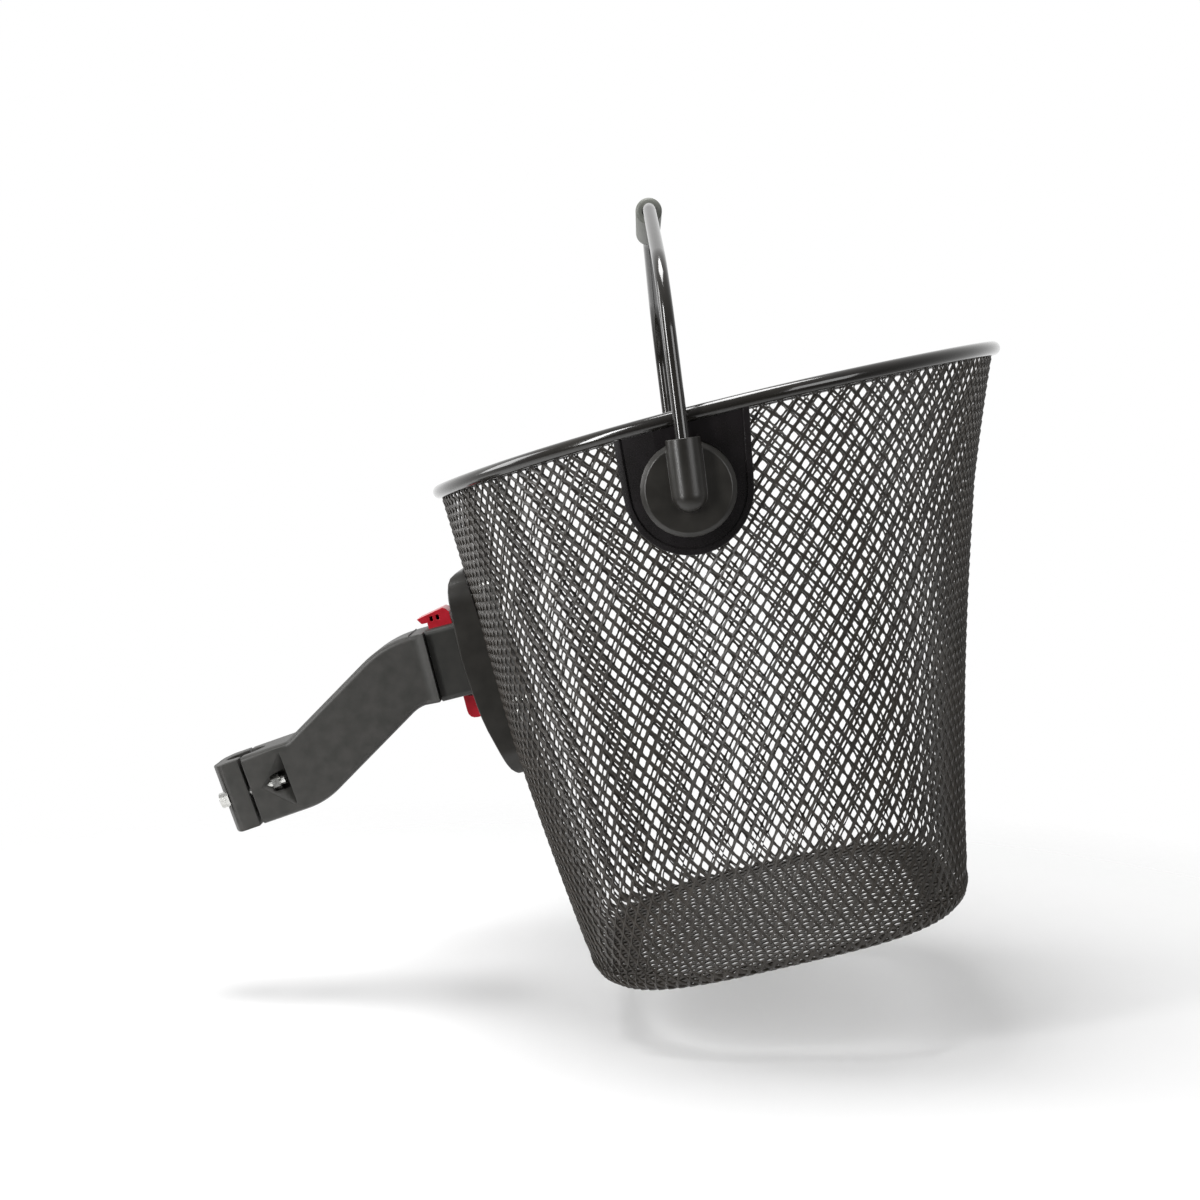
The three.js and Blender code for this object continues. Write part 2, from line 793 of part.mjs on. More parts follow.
function armOutline() {
  const lowCut = lowElbowRadius * Math.tan(rise / 2);
  const highCut = highElbowRadius * Math.tan((rise + drop) / 2);
  const lowCentre = [lowElbow.x - lowCut, lowElbowRadius];
  const highStart = [highElbow.x - highCut * Math.cos(rise), highElbow.y - highCut * Math.sin(rise)];
  const highCentre = [
    highStart[0] + highElbowRadius * Math.sin(rise),
    highStart[1] - highElbowRadius * Math.cos(rise),
  ];
  const quarter = Math.PI / 2;
  const onward = [Math.cos(drop), -Math.sin(drop)];
  const upward = [Math.sin(drop), Math.cos(drop)];
  const endPoint = (height) => [
    armEnd.x + overrun * onward[0] + height * upward[0],
    armEnd.y + overrun * onward[1] + height * upward[1],
  ];
  const shape = new THREE.Shape();
  shape.moveTo(-boreRadius, -armHalfDepth);
  shape.lineTo(-boreRadius, armHalfDepth);
  shape.absarc(...lowCentre, lowElbowRadius - armHalfDepth, -quarter, rise - quarter);
  shape.absarc(...highCentre, highElbowRadius + armHalfDepth, quarter + rise, quarter - drop, true);
  shape.lineTo(...endPoint(armHalfDepth));
  shape.lineTo(...endPoint(-armHalfDepth));
  shape.absarc(...highCentre, highElbowRadius - armHalfDepth, quarter - drop, quarter + rise);
  shape.absarc(...lowCentre, lowElbowRadius + armHalfDepth, rise - quarter, -quarter, true);
  return shape;
}

// Bays under the slanted stretch of the arm, with a rib left between two bays
function armPockets() {
  const bay = (pocketLength - pocketRib * (pocketCount - 1)) / pocketCount;
  const first = (elbowToElbow - pocketLength) / 2;
  const bays = Array.from({ length: pocketCount }, (unused, i) => {
    const start = first + i * (bay + pocketRib);
    const box = block(
      [start, start + bay], half(clampHalfWidth - pocketSide),
      [-armHalfDepth - overrun, armHalfDepth - pocketRoof],
    );
    const geometry = toGeometry(box);
    geometry.rotateY(-rise);
    geometry.translate(lowElbow.x, 0, lowElbow.y);
    return toSolid(geometry);
  });
  return joined(...bays);
}

// A sunk notch in the clamp's side: two slanted faces that end at an upright step
function sideNotch(side) {
  const surface = side * clampHalfWidth;
  const deepest = point(notchEnd, surface - side * notchDepth, 0);
  const corners = [
    point(notchEnd, surface, notchHalfHeight),
    point(notchStart, surface, 0),
    point(notchEnd, surface, -notchHalfHeight),
  ].map((corner) => corner.sub(deepest).multiplyScalar(overrun).add(deepest));
  return toSolid(new ConvexGeometry([deepest, ...corners]));
}

function boltBar(side, from, to, radius, facets = screwFacets) {
  return bar('x', point(0, side * boltOffset, 0), from, to, radius, facets);
}

function adapterArm() {
  const width = clampHalfWidth - armEdge;
  const body = sidePrism(armOutline(), half(width), {
    bevelEnabled: true,
    bevelThickness: armEdge,
    bevelSize: armEdge,
    bevelOffset: -armEdge,
    bevelSegments: 2,
    curveSegments: bendFacets,
  });
  const geometry = toGeometry(body);
  const collarBack = -collarStandOff - collarLength;
  const collarShape = polygon([
    [collarBack, -collarStart], [-collarStandOff, -collarHalfWidth],
    [-collarStandOff, collarHalfWidth], [collarBack, collarStart],
  ]);
  const collarHeight = [-headMiddleDepth - armHalfDepth, armHalfDepth - headMiddleDepth];
  const collar = fromRimFrame(planPrism(collarShape, collarHeight));
  const beyond = fromRimFrame(block(
    [-collarStandOff, rimLength], half(rimWidth), half(rimLength),
  ));
  const behind = block([-rimLength, clampGap / 2], half(rimWidth), half(rimLength));
  const bore = bar('z', point(0, 0, 0), -clampHeight, clampHeight, boreRadius, roundFacets);
  const cuts = [beyond, behind, bore, armPockets()];
  for (const side of Object.values(sides)) {
    cuts.push(sideNotch(side));
    cuts.push(boltBar(side, -overrun, boltTip + overrun, boltRadius + gap));
    cuts.push(boltBar(side, nutSeat - gap, notchEnd, nutRecessRadius));
    cuts.push(fromRimFrame(bar(
      'x', point(0, side * headScrewOffset, -headMiddleDepth),
      headScrewBack - gap, -collarStandOff + overrun, headScrewRadius + gap,
    )));
  }
  return cut(joined(toSolid(geometry), collar), ...cuts);
}

function clampCap() {
  const split = -clampGap / 2;
  const plan = new THREE.Shape();
  plan.moveTo(split, -clampHalfWidth);
  plan.lineTo(split, clampHalfWidth);
  plan.lineTo(capRound - capSideDepth, clampHalfWidth);
  plan.quadraticCurveTo(-capSideDepth, clampHalfWidth, -capSideDepth - capRound / 2, boltOffset);
  plan.quadraticCurveTo(-capMiddleDepth, boltOffset / 2, -capMiddleDepth, 0);
  plan.quadraticCurveTo(-capMiddleDepth, -boltOffset / 2, -capSideDepth - capRound / 2, -boltOffset);
  plan.quadraticCurveTo(-capSideDepth, -clampHalfWidth, capRound - capSideDepth, -clampHalfWidth);
  const side = new THREE.Shape();
  side.moveTo(overrun, armHalfDepth);
  side.lineTo(overrun, -armHalfDepth);
  side.lineTo(capRound - capMiddleDepth, -armHalfDepth);
  side.quadraticCurveTo(-capMiddleDepth, -armHalfDepth, -capMiddleDepth, capRound - armHalfDepth);
  side.lineTo(-capMiddleDepth, armHalfDepth - capRound);
  side.quadraticCurveTo(-capMiddleDepth, armHalfDepth, capRound - capMiddleDepth, armHalfDepth);
  const body = planPrism(plan, half(armHalfDepth))
    .intersect(sidePrism(side, half(clampHalfWidth + overrun), { curveSegments: cornerFacets }));
  const bore = bar('z', point(0, 0, 0), -clampHeight, clampHeight, boreRadius, roundFacets);
  const cuts = [bore];
  for (const way of Object.values(sides)) {
    cuts.push(boltBar(way, -capMiddleDepth, overrun, boltRadius + gap));
    cuts.push(boltBar(way, -capMiddleDepth - overrun, gap - boltHeadSeat, boltHeadRadius + gap));
  }
  return cut(body, ...cuts);
}

function clampBolt(side) {
  const head = boltBar(side, -boltHeadSeat - boltHeadHeight, -boltHeadSeat, boltHeadRadius);
  const shank = boltBar(side, -boltHeadSeat - gap, boltTip, boltRadius);
  const socketEnd = boltSocketDepth - boltHeadSeat - boltHeadHeight;
  const socket = boltBar(side, -boltHeadSeat - boltHeadHeight - overrun, socketEnd, boltSocketRadius, 6);
  return cut(joined(head, shank), socket);
}

function clampNut(side) {
  const corner = nutFlats / 2 / Math.cos(Math.PI / 6);
  const body = boltBar(side, nutSeat, nutSeat + nutThickness, corner, 6);
  return cut(body, boltBar(side, nutSeat - overrun, boltTip, boltRadius + gap));
}

// Bracket on the rear wall, and the head that stands in it, drawn in the rim frame

const cavityRear = lipThickness - bracketStandOff;
const cavityFront = cavityRear + tongueThickness + 2 * gap;
const tongueRear = cavityRear + gap;
const tongueFront = tongueRear + tongueThickness;
const headScrewFront = tongueFront - gap;
const headScrewBack = headScrewFront - headScrewHeadHeight - headScrewLength;
const lipEndDepth = bracketTopDepth + lipHeight;
const latchDepth = headBottomDepth + latchReach;
const wallReach = rimLength / 4;

function bracketScrewPlaces() {
  const depths = [bracketTopDepth + bracketScrewInset, bracketBottomDepth - bracketScrewInset * 2];
  const places = [];
  for (const depth of depths) {
    for (const side of Object.values(sides)) {
      places.push(point(0, side * bracketScrewOffset, -depth));
    }
  }
  return places;
}

function rearBracket() {
  const facePoints = bracketFaceShares.map(([down, out]) => new THREE.Vector2(
    -bracketStandOff * out, -bracketTopDepth - bracketHeight * down,
  ));
  const face = new THREE.SplineCurve(facePoints).getPoints(2 * bracketFaceShares.length);
  const profile = polygon([
    ...face.map((p) => [p.x, p.y]),
    [wallReach, -bracketBottomDepth], [wallReach, -bracketTopDepth],
  ]);
  const height = [-bracketBottomDepth - overrun, -bracketTopDepth];
  const outline = roundedBox(half(bracketHalfWidth), height, bracketCorner);
  const body = sidePrism(profile, half(bracketHalfWidth)).intersect(rearPrism(outline, half(wallReach)));
  const stop = gap - headTopDepth;
  const below = -bracketBottomDepth - overrun;
  const outwards = -collarStandOff;
  const cavity = block([cavityRear, cavityFront], half(tongueHalfWidth + gap), [below, stop]);
  const slot = block([outwards, cavityRear + gap], half(neckHalfWidth + gap), [below, stop]);
  const mouth = block([outwards, cavityFront], half(tongueHalfWidth + gap), [below, -lipEndDepth]);
  const holes = bracketScrewPlaces().map((place) => {
    const seat = rearWallAt(place.y, -place.z);
    return bar('x', place, seat - bracketScrewGrip - gap, wallReach, bracketScrewRadius + gap);
  });
  const catchTop = -latchDepth - buttonTravel / 2;
  const ledge = sidePrism(polygon([
    [cavityFront + gap, catchTop], [cavityRear, catchTop],
    [cavityRear, catchTop - catchHeight], [cavityFront + gap, catchTop - catchRamp],
  ]), half(catchHalfWidth));
  return joined(cut(body, wallOutside, cavity, slot, mouth, ...holes), ledge);
}

// Inside the rear wall, a plate bent to the wall spreads the bracket's load
function bracketBackPlate() {
  const height = [
    bracketScrewInset - bracketBottomDepth + backPlateMargin,
    -bracketTopDepth - backPlateMargin,
  ];
  const outline = roundedBox(half(bracketHalfWidth), height, bracketCorner);
  const slab = rearPrism(outline, [-wallReach, wallReach]).intersect(wallInside);
  const holes = bracketScrewPlaces().map((place) => bar(
    'x', place, -wallReach, wallReach, bracketScrewRadius + gap,
  ));
  const spots = bracketScrewPlaces().map((place) => bar(
    'x', place, screwSeat(place), wallReach, bracketScrewHeadRadius + gap,
  ));
  return cut(slab, tubSolid(-wallThickness - gap - backPlateThickness), ...holes, ...spots);
}

// Where a bracket screw's head sits: on the plate, at the side that lies nearest to the wall
function screwSeat(place) {
  const inner = rearWallAt(Math.abs(place.y), -place.z) + wallThickness + gap;
  return inner + backPlateThickness;
}

function bracketScrew(place) {
  const seat = screwSeat(place) + gap;
  const tip = rearWallAt(place.y, -place.z) - bracketScrewGrip;
  const head = bar('x', place, seat, seat + bracketScrewHeadHeight, bracketScrewHeadRadius);
  const shank = bar('x', place, tip, seat + gap, bracketScrewRadius);
  return joined(head, shank);
}

const buttonTopDepth = headTopDepth - buttonProud;
const buttonBackDepth = buttonTopDepth + buttonBackDrop;
const buttonUnderDepth = headTopDepth - buttonTravel - gap;
const buttonSkirtDepth = headTopDepth + buttonSkirt;
const springSeatDepth = headTopDepth + springReach;
const sliderFront = -buttonFront - buttonWall - gap;
const sliderBack = sliderFront - sliderThickness;
const buttonBack = -buttonFront - buttonLength;
const springX = (sliderBack - gap + buttonBack + buttonWall) / 2;

function adapterHead() {
  const height = [-headBottomDepth, -headTopDepth];
  const neck = rearPrism(
    roundedBox(half(neckHalfWidth), height, neckRound), [gap - collarStandOff, tongueRear + gap],
  );
  const tongue = rearPrism(
    roundedBox(half(tongueHalfWidth), height, neckRound), [tongueRear, tongueFront],
  );
  const whole = [-headBottomDepth - overrun, -headTopDepth + overrun];
  const notch = block([cavityRear - gap, tongueFront + overrun], half(notchHalfWidth), whole);
  const shaft = block([sliderBack - gap, sliderFront + gap], half(sliderHalfWidth + gap), whole);
  const wellFloor = -buttonSkirtDepth - buttonTravel - gap;
  const well = block(
    [buttonBack - gap, gap - buttonFront], half(buttonHalfWidth + gap), [wellFloor, whole[1]],
  );
  const springHole = bar(
    'z', point(springX, 0, 0), -springSeatDepth, -headTopDepth, springRadius + springWire + gap,
  );
  const cuts = [notch, shaft, well, springHole];
  for (const side of Object.values(sides)) {
    const middle = point(0, side * headScrewOffset, -headMiddleDepth);
    cuts.push(bar('x', middle, -collarStandOff, tongueFront, headScrewRadius + gap));
    cuts.push(bar(
      'x', middle, headScrewFront - headScrewHeadHeight - gap, tongueFront + overrun,
      headScrewHeadRadius + gap,
    ));
  }
  return cut(joined(neck, tongue), ...cuts);
}

function headScrew(side) {
  const middle = point(0, side * headScrewOffset, -headMiddleDepth);
  const under = headScrewFront - headScrewHeadHeight;
  const head = bar('x', middle, under, headScrewFront, headScrewHeadRadius);
  const shank = bar('x', middle, headScrewBack, under + gap, headScrewRadius);
  return joined(head, shank);
}

function releaseButton() {
  const overhang = buttonBack - buttonBackReach;
  const profile = polygon([
    [buttonBack, -buttonSkirtDepth], [-buttonFront, -buttonSkirtDepth],
    [-buttonFront, -buttonTopDepth - buttonNose],
    [-buttonFront - buttonNose / 2, -buttonTopDepth - buttonNose / 3],
    [-buttonFront - buttonNose, -buttonTopDepth],
    [overhang - buttonLip + buttonNose, -buttonBackDepth + gap],
    [overhang - buttonLip, -buttonBackDepth - gap], [overhang, -buttonUnderDepth],
    [buttonBack, -buttonUnderDepth],
  ]);
  const body = sidePrism(profile, half(buttonHalfWidth));
  const roof = -buttonTopDepth - buttonRoof;
  const hollow = block(
    [buttonBack + buttonWall, -buttonFront - buttonWall], half(buttonHalfWidth - buttonWall),
    [-buttonSkirtDepth - overrun, roof],
  );
  const windows = Array.from({ length: buttonWindowCount }, (unused, i) => {
    const left = buttonBack + buttonWall + gap + i * buttonWindowPitch;
    return block(
      [left, left + buttonWindowWidth], half(buttonHalfWidth + overrun),
      [-buttonUnderDepth + gap, -buttonUnderDepth + gap + buttonWindowHeight],
    );
  });
  return cut(body, hollow, ...windows);
}

// One bar through the head: its top hangs in the button and its foot is the latch
function latchSlider() {
  const top = -buttonTopDepth - buttonRoof - gap;
  const nose = cavityRear - gap;
  const heel = sliderBack;
  const foot = -latchDepth;
  const profile = new THREE.Shape();
  profile.moveTo(sliderBack, top);
  profile.lineTo(heel, foot + latchRound);
  profile.quadraticCurveTo(heel, foot, heel + latchRound, foot);
  profile.lineTo(nose - latchRound / 2, foot);
  profile.lineTo(nose, foot + latchRound / 2);
  profile.lineTo(nose, foot + latchHeight - latchRound / 2);
  profile.lineTo(nose - latchRound / 2, foot + latchHeight);
  profile.lineTo(sliderFront, foot + latchHeight);
  profile.lineTo(sliderFront, top);
  return sidePrism(profile, half(sliderHalfWidth), { curveSegments: cornerFacets });
}

function releaseSpring() {
  const low = gap - springSeatDepth + springWire;
  const high = -buttonTopDepth - buttonRoof - gap - springWire;
  const count = springTurns * springFacets;
  const points = Array.from({ length: count + 1 }, (unused, i) => {
    const turn = (2 * Math.PI * i) / springFacets;
    return point(
      springX + springRadius * Math.cos(turn), springRadius * Math.sin(turn),
      mix(low, high, i / count),
    );
  });
  return tubeAlong(points, point(0, 0, 1), springWire, springSides);
}

// Assembly

const wallHoles = [
  ...Object.values(sides).map((side) => pivotBar(side, 0, rimWidth, pivotScrewRadius + gap)),
  ...bracketScrewPlaces().map((place) => bar('x', place, -wallReach, wallReach, bracketScrewRadius + gap)),
];

place(rimFrame, 'basket_wall', toGeometry(cut(wallShell(), ...wallHoles)), meshPaint);
place(rimFrame, 'basket_floor', toGeometry(cut(floorTray(), ...floorWindows())), meshPaint);
place(rimFrame, 'rim_tube', toGeometry(rimTube(rimRadius)), glossPaint);
for (const [name, side] of Object.entries(sides)) {
  place(rimFrame, `side_plate_${name}`, toGeometry(sidePlate(side)), plateGloss);
  place(rimFrame, `pivot_washer_${name}`, toGeometry(pivotWasher(side)), zincSteel);
  place(rimFrame, `pivot_screw_${name}`, toGeometry(pivotScrew(side)), zincSteel);
  place(handleFrame, `pivot_disc_${name}`, toGeometry(pivotDisc(side)), greyMoulding);
}
const handleRod = tubeAlong(handlePath(), point(1, 0, 0), rodRadius, rodFacets);
place(handleFrame, 'handle_rod', handleRod, glossPaint);
place(handleFrame, 'handle_grip', toGeometry(gripTube()), gripSleeve);

place(rimFrame, 'rear_bracket', toGeometry(rearBracket()), greyMoulding);
place(rimFrame, 'bracket_back_plate', toGeometry(bracketBackPlate()), greyMoulding);
bracketScrewPlaces().forEach((where, i) => {
  place(rimFrame, `bracket_screw_${i + 1}`, toGeometry(bracketScrew(where)), zincSteel);
});

place(stemFrame, 'adapter_arm', toGeometry(adapterArm()), armMoulding);
place(stemFrame, 'clamp_cap', toGeometry(clampCap()), armMoulding);
for (const [name, side] of Object.entries(sides)) {
  place(stemFrame, `clamp_bolt_${name}`, toGeometry(clampBolt(side)), zincSteel);
  place(stemFrame, `clamp_nut_${name}`, toGeometry(clampNut(side)), zincSteel);
  place(rimFrame, `head_screw_${name}`, toGeometry(headScrew(side)), zincSteel);
}
place(rimFrame, 'adapter_head', toGeometry(adapterHead()), headMoulding);
place(rimFrame, 'release_button', toGeometry(releaseButton()), redMoulding);
place(rimFrame, 'latch_slider', toGeometry(latchSlider()), redMoulding);
place(rimFrame, 'release_spring', releaseSpring(), springSteel);

const handlebarBasket = new THREE.Group();
handlebarBasket.add(stemFrame);

export default handlebarBasket;
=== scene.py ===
# %% [markdown]
# # A bicycle basket of expanded metal on a quick-release arm
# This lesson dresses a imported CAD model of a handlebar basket. The CAD model holds every size and
# every joint, and the cells below give it its looks: a wall of real metal strands, lacquered wire,
# moulded plastic and zinc-plated screws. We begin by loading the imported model. Each of its nodes
# rides on a body, such as the basket or its handle, so what we add has to ride on one too.

import json
import math

import bmesh
import bpy
from mathutils import Matrix, Vector


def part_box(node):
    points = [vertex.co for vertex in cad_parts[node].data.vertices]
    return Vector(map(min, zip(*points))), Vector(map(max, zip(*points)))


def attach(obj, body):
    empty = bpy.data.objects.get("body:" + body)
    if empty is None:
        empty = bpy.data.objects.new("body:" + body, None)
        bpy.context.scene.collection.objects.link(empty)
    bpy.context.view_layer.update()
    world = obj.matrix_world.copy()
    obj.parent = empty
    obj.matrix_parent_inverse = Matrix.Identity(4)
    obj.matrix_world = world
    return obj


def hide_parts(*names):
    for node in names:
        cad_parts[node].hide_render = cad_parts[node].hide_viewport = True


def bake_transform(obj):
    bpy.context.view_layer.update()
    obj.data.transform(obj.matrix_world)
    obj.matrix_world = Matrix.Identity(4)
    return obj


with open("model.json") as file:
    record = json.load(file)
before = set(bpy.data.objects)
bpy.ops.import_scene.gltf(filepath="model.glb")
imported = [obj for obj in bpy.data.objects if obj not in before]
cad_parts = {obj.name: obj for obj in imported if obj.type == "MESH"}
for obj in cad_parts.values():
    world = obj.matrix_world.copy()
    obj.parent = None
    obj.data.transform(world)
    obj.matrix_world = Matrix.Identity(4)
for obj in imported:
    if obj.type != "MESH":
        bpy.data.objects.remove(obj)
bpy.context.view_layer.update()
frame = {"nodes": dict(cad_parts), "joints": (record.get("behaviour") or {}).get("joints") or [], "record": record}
MM = 0.001
joints = {joint["name"]: joint for joint in frame["joints"]}

# %% [markdown]
# ## Two helpful frames
# The basket leans forward with the bicycle's head tube, so its rim isn't level. Sizes are far easier
# to read in a frame that lies in the plane of the rim. The direction in which the basket lifts off
# its adapter is square to that plane, and the CAD model tells us what it is. A second frame stands
# on the handle's pivot, with its upward axis along the handle's legs.

# %% The rim's frame and the handle's frame
ACROSS = Vector((0, 1, 0))
RIM_RADIUS = 3.5 * MM


def frame_matrix(origin, up):
    forward = ACROSS.cross(up)
    turn = Matrix((forward, ACROSS, up)).transposed()
    return Matrix.Translation(origin) @ turn.to_4x4()


def spread(node, matrix=Matrix.Identity(4)):
    """Lowest and highest corner of a node's vertices, seen in a frame."""
    inverse = matrix.inverted()
    places = [inverse @ vertex.co for vertex in frame["nodes"][node].data.vertices]
    low = Vector([min(place[i] for place in places) for i in range(3)])
    high = Vector([max(place[i] for place in places) for i in range(3)])
    return low, high


lift = Vector(joints["basket_lift"]["axis"]).normalized()
tilted = frame_matrix(Vector((0, 0, 0)), lift)
rim_low, rim_high = spread("rim_tube", tilted)
rim_origin = tilted @ Vector((rim_low.x + RIM_RADIUS, 0, rim_low.z + RIM_RADIUS))
RIM = frame_matrix(rim_origin, lift)

pivot = Vector(joints["handle_swing"]["pos_m"])
grip_low, grip_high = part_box("handle_grip")
handle_up = ((grip_low + grip_high) / 2 - pivot).normalized()
HANDLE = frame_matrix(pivot, handle_up)
print("rim starts at", [round(value / MM, 1) for value in rim_origin], "mm")

# %% [markdown]
# ## The sizes of the tub
# Seen along its height, the tub is a superellipse, a little squarer than an ellipse. We read the
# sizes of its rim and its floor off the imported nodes, so that the looks always fit the model. On the
# real basket the lower edge is rounded more tightly than on the model, so the wall runs a little
# further down before it rolls under.

# %% Sizes of the tub
OVAL_POWER = 2.1
RIM_BOW = 5.6 * MM
RIM_BOW_SKEW = 0.3
CAD_CORNER_RADIUS = 16 * MM
CORNER_RADIUS = 12 * MM
WALL_THICKNESS = 1.6 * MM
FOOT_MARGIN = 0.1 * MM

rim_low, rim_high = spread("rim_tube", RIM)
floor_low = spread("basket_floor", RIM)[0]
rim_length = rim_high.x - rim_low.x - 2 * RIM_RADIUS
rim_width = rim_high.y - rim_low.y - 2 * RIM_RADIUS
basket_height = -floor_low.z
wall_depth = basket_height - CORNER_RADIUS
to_rim = RIM.inverted()
foot = [to_rim @ vertex.co for vertex in frame["nodes"]["basket_floor"].data.vertices]
foot = [place for place in foot if place.z < floor_low.z + FOOT_MARGIN]
foot_x, foot_y = [place.x for place in foot], [place.y for place in foot]
floor_length = max(foot_x) - min(foot_x) + 2 * CAD_CORNER_RADIUS
floor_width = max(foot_y) - min(foot_y) + 2 * CAD_CORNER_RADIUS
floor_middle = (max(foot_x) + min(foot_x)) / 2
print("rim", round(rim_length / MM, 1), "by", round(rim_width / MM, 1), "mm,",
      "floor", round(floor_length / MM, 1), "by", round(floor_width / MM, 1), "mm")

# %% [markdown]
# ## Building node trees in code
# Geometry Nodes and shader nodes are both trees of small boxes joined by links. Writing every link by
# hand makes even a short sum unreadable, so one small class wraps a socket: an expression such as
# `1 - mask * 2` then adds the Math nodes by itself. Everything else goes through one method, `add`,
# which makes a node, sets its settings and fills its sockets with values or links.

# %% A socket that can be calculated with


class Value:
    """One output socket. Arithmetic on it adds Math nodes to its tree."""

    def __init__(self, maker, socket):
        self.maker = maker
        self.socket = socket

    def out(self, name):
        """Another output of the same node."""
        found = [s for s in self.socket.node.outputs if s.enabled and s.name == name]
        return Value(self.maker, found[0])

    def math(self, operation, *others, first=None):
        values = [self, *others] if first is None else [first, self, *others]
        return self.maker.add("ShaderNodeMath", {"operation": operation}, dict(enumerate(values)))

    def __add__(self, other):
        return self.math("ADD", other)

    def __sub__(self, other):
        return self.math("SUBTRACT", other)

    def __mul__(self, other):
        return self.math("MULTIPLY", other)

    def __truediv__(self, other):
        return self.math("DIVIDE", other)

    def __pow__(self, other):
        return self.math("POWER", other)

    def __neg__(self):
        return self.math("MULTIPLY", -1.0)

    def __rsub__(self, other):
        return self.math("SUBTRACT", first=other)

    def __rtruediv__(self, other):
        return self.math("DIVIDE", first=other)

    __radd__ = __add__
    __rmul__ = __mul__

    def split(self):
        """The three numbers of a vector."""
        parts = self.maker.add("ShaderNodeSeparateXYZ", sockets={"Vector": self})
        return parts, parts.out("Y"), parts.out("Z")


class Maker:
    """Adds nodes to one tree, of shader or of geometry nodes."""

    def __init__(self, tree):
        self.tree = tree

    def add(self, kind, settings=None, sockets=None):
        node = self.tree.nodes.new(kind)
        for name, value in (settings or {}).items():
            if name == "stops":
                set_stops(node.color_ramp, value)
            else:
                setattr(node, name, value)
        for name, value in (sockets or {}).items():
            socket = node.inputs[name] if isinstance(name, int) else self.find(node, name)
            if isinstance(value, Value):
                self.tree.links.new(value.socket, socket)
            else:
                socket.default_value = value
        shown = [output for output in node.outputs if output.enabled]
        return Value(self, shown[0]) if shown else node

    def find(self, node, name):
        return [socket for socket in node.inputs if socket.enabled and socket.name == name][0]

    def join(self, x, y, z):
        return self.add("ShaderNodeCombineXYZ", sockets={"X": x, "Y": y, "Z": z})


def set_stops(ramp, stops):
    """Stops are (place, colour), in order."""
    while len(ramp.elements) < len(stops):
        ramp.elements.new(1.0)
    for element, (place, colour) in zip(ramp.elements, stops):
        element.position = place
        element.color = colour


print("socket arithmetic is ready")

# %% [markdown]
# ## Running a geometry tree
# A tree is grown on an empty carrier object. Its inputs are set by their identifiers before the
# object is evaluated for the first time, the evaluated shape is turned into a plain mesh, and the
# carrier is thrown away with its modifier. What is left is an ordinary object at the origin.

# %% Trees with named inputs, and how to grow them
SOCKET_KINDS = {float: "NodeSocketFloat", int: "NodeSocketInt"}


def new_tree(name, inputs):
    """An empty geometry tree. Inputs are {name: kind}, where kind is float or int."""
    tree = bpy.data.node_groups.new(name, "GeometryNodeTree")
    tree.interface.new_socket("Geometry", in_out="OUTPUT", socket_type="NodeSocketGeometry")
    for label, kind in inputs.items():
        tree.interface.new_socket(label, in_out="INPUT", socket_type=SOCKET_KINDS[kind])
    maker = Maker(tree)
    entry = tree.nodes.new("NodeGroupInput")
    given = {label: Value(maker, entry.outputs[label]) for label in inputs}
    return maker, given


def end_tree(maker, geometry, material):
    solid = maker.add("GeometryNodeRealizeInstances", sockets={"Geometry": geometry})
    finished = maker.add(
        "GeometryNodeSetMaterial", sockets={"Geometry": solid, "Material": material})
    leave = maker.tree.nodes.new("NodeGroupOutput")
    maker.tree.links.new(finished.socket, leave.inputs["Geometry"])
    return maker.tree


def link_object(name, data):
    """An object that carries a mesh, a lamp or a camera."""
    placed = bpy.data.objects.new(name, data)
    bpy.context.scene.collection.objects.link(placed)
    return placed


def grow(name, tree, sizes, matrix):
    """The shape that a tree makes from its sizes, as a plain mesh placed by a matrix."""
    carrier = link_object(name + "_carrier", bpy.data.meshes.new(name + "_carrier"))
    modifier = carrier.modifiers.new("grow", "NODES")
    modifier.node_group = tree
    for item in tree.interface.items_tree:
        if item.in_out == "INPUT":
            modifier[item.identifier] = sizes[item.name]
    evaluated = carrier.evaluated_get(bpy.context.evaluated_depsgraph_get())
    mesh = bpy.data.meshes.new_from_object(evaluated)
    mesh.name = name
    bpy.data.objects.remove(carrier)
    mesh.transform(matrix)
    piece = link_object(name, mesh)
    print(name, "has", sum(len(face.vertices) - 2 for face in mesh.polygons), "triangles")
    return piece


# %% [markdown]
# ## Materials
# A painted or moulded surface is never one flat colour. Each finish below starts from a plain colour
# and adds what the real one shows: a slow drift in tone, a grain or orange peel in the bump, and a
# roughness that wanders a little, so that highlights break up. All patterns read Object coordinates
# in metres, and every scale is written as the size of one grain.

# %% A helper for finishes
SLOW_SHARE = 0.4


class Finish(Maker):
    """A material with a Principled shader, and short ways to vary it."""

    def __init__(self, name):
        self.material = bpy.data.materials.new(name)
        self.material.use_nodes = True
        super().__init__(self.material.node_tree)
        self.shader = self.tree.nodes["Principled BSDF"]
        self.place = self.add("ShaderNodeTexCoord").out("Object")

    def constant(self, name, value):
        self.shader.inputs[name].default_value = value

    def feed(self, name, value):
        self.tree.links.new(value.socket, self.shader.inputs[name])

    def noise(self, grain, detail):
        return self.add("ShaderNodeTexNoise", sockets={
            "Vector": self.place, "Scale": 1 / grain, "Detail": detail})

    def blend(self, factor, low, high):
        """A colour between two others."""
        ramp = [(0.3, (*low, 1.0)), (0.7, (*high, 1.0))]
        return self.add("ShaderNodeValToRGB", {"stops": ramp}, {"Fac": factor})

    def bump(self, height, distance):
        return self.add("ShaderNodeBump", sockets={"Height": height, "Distance": distance})


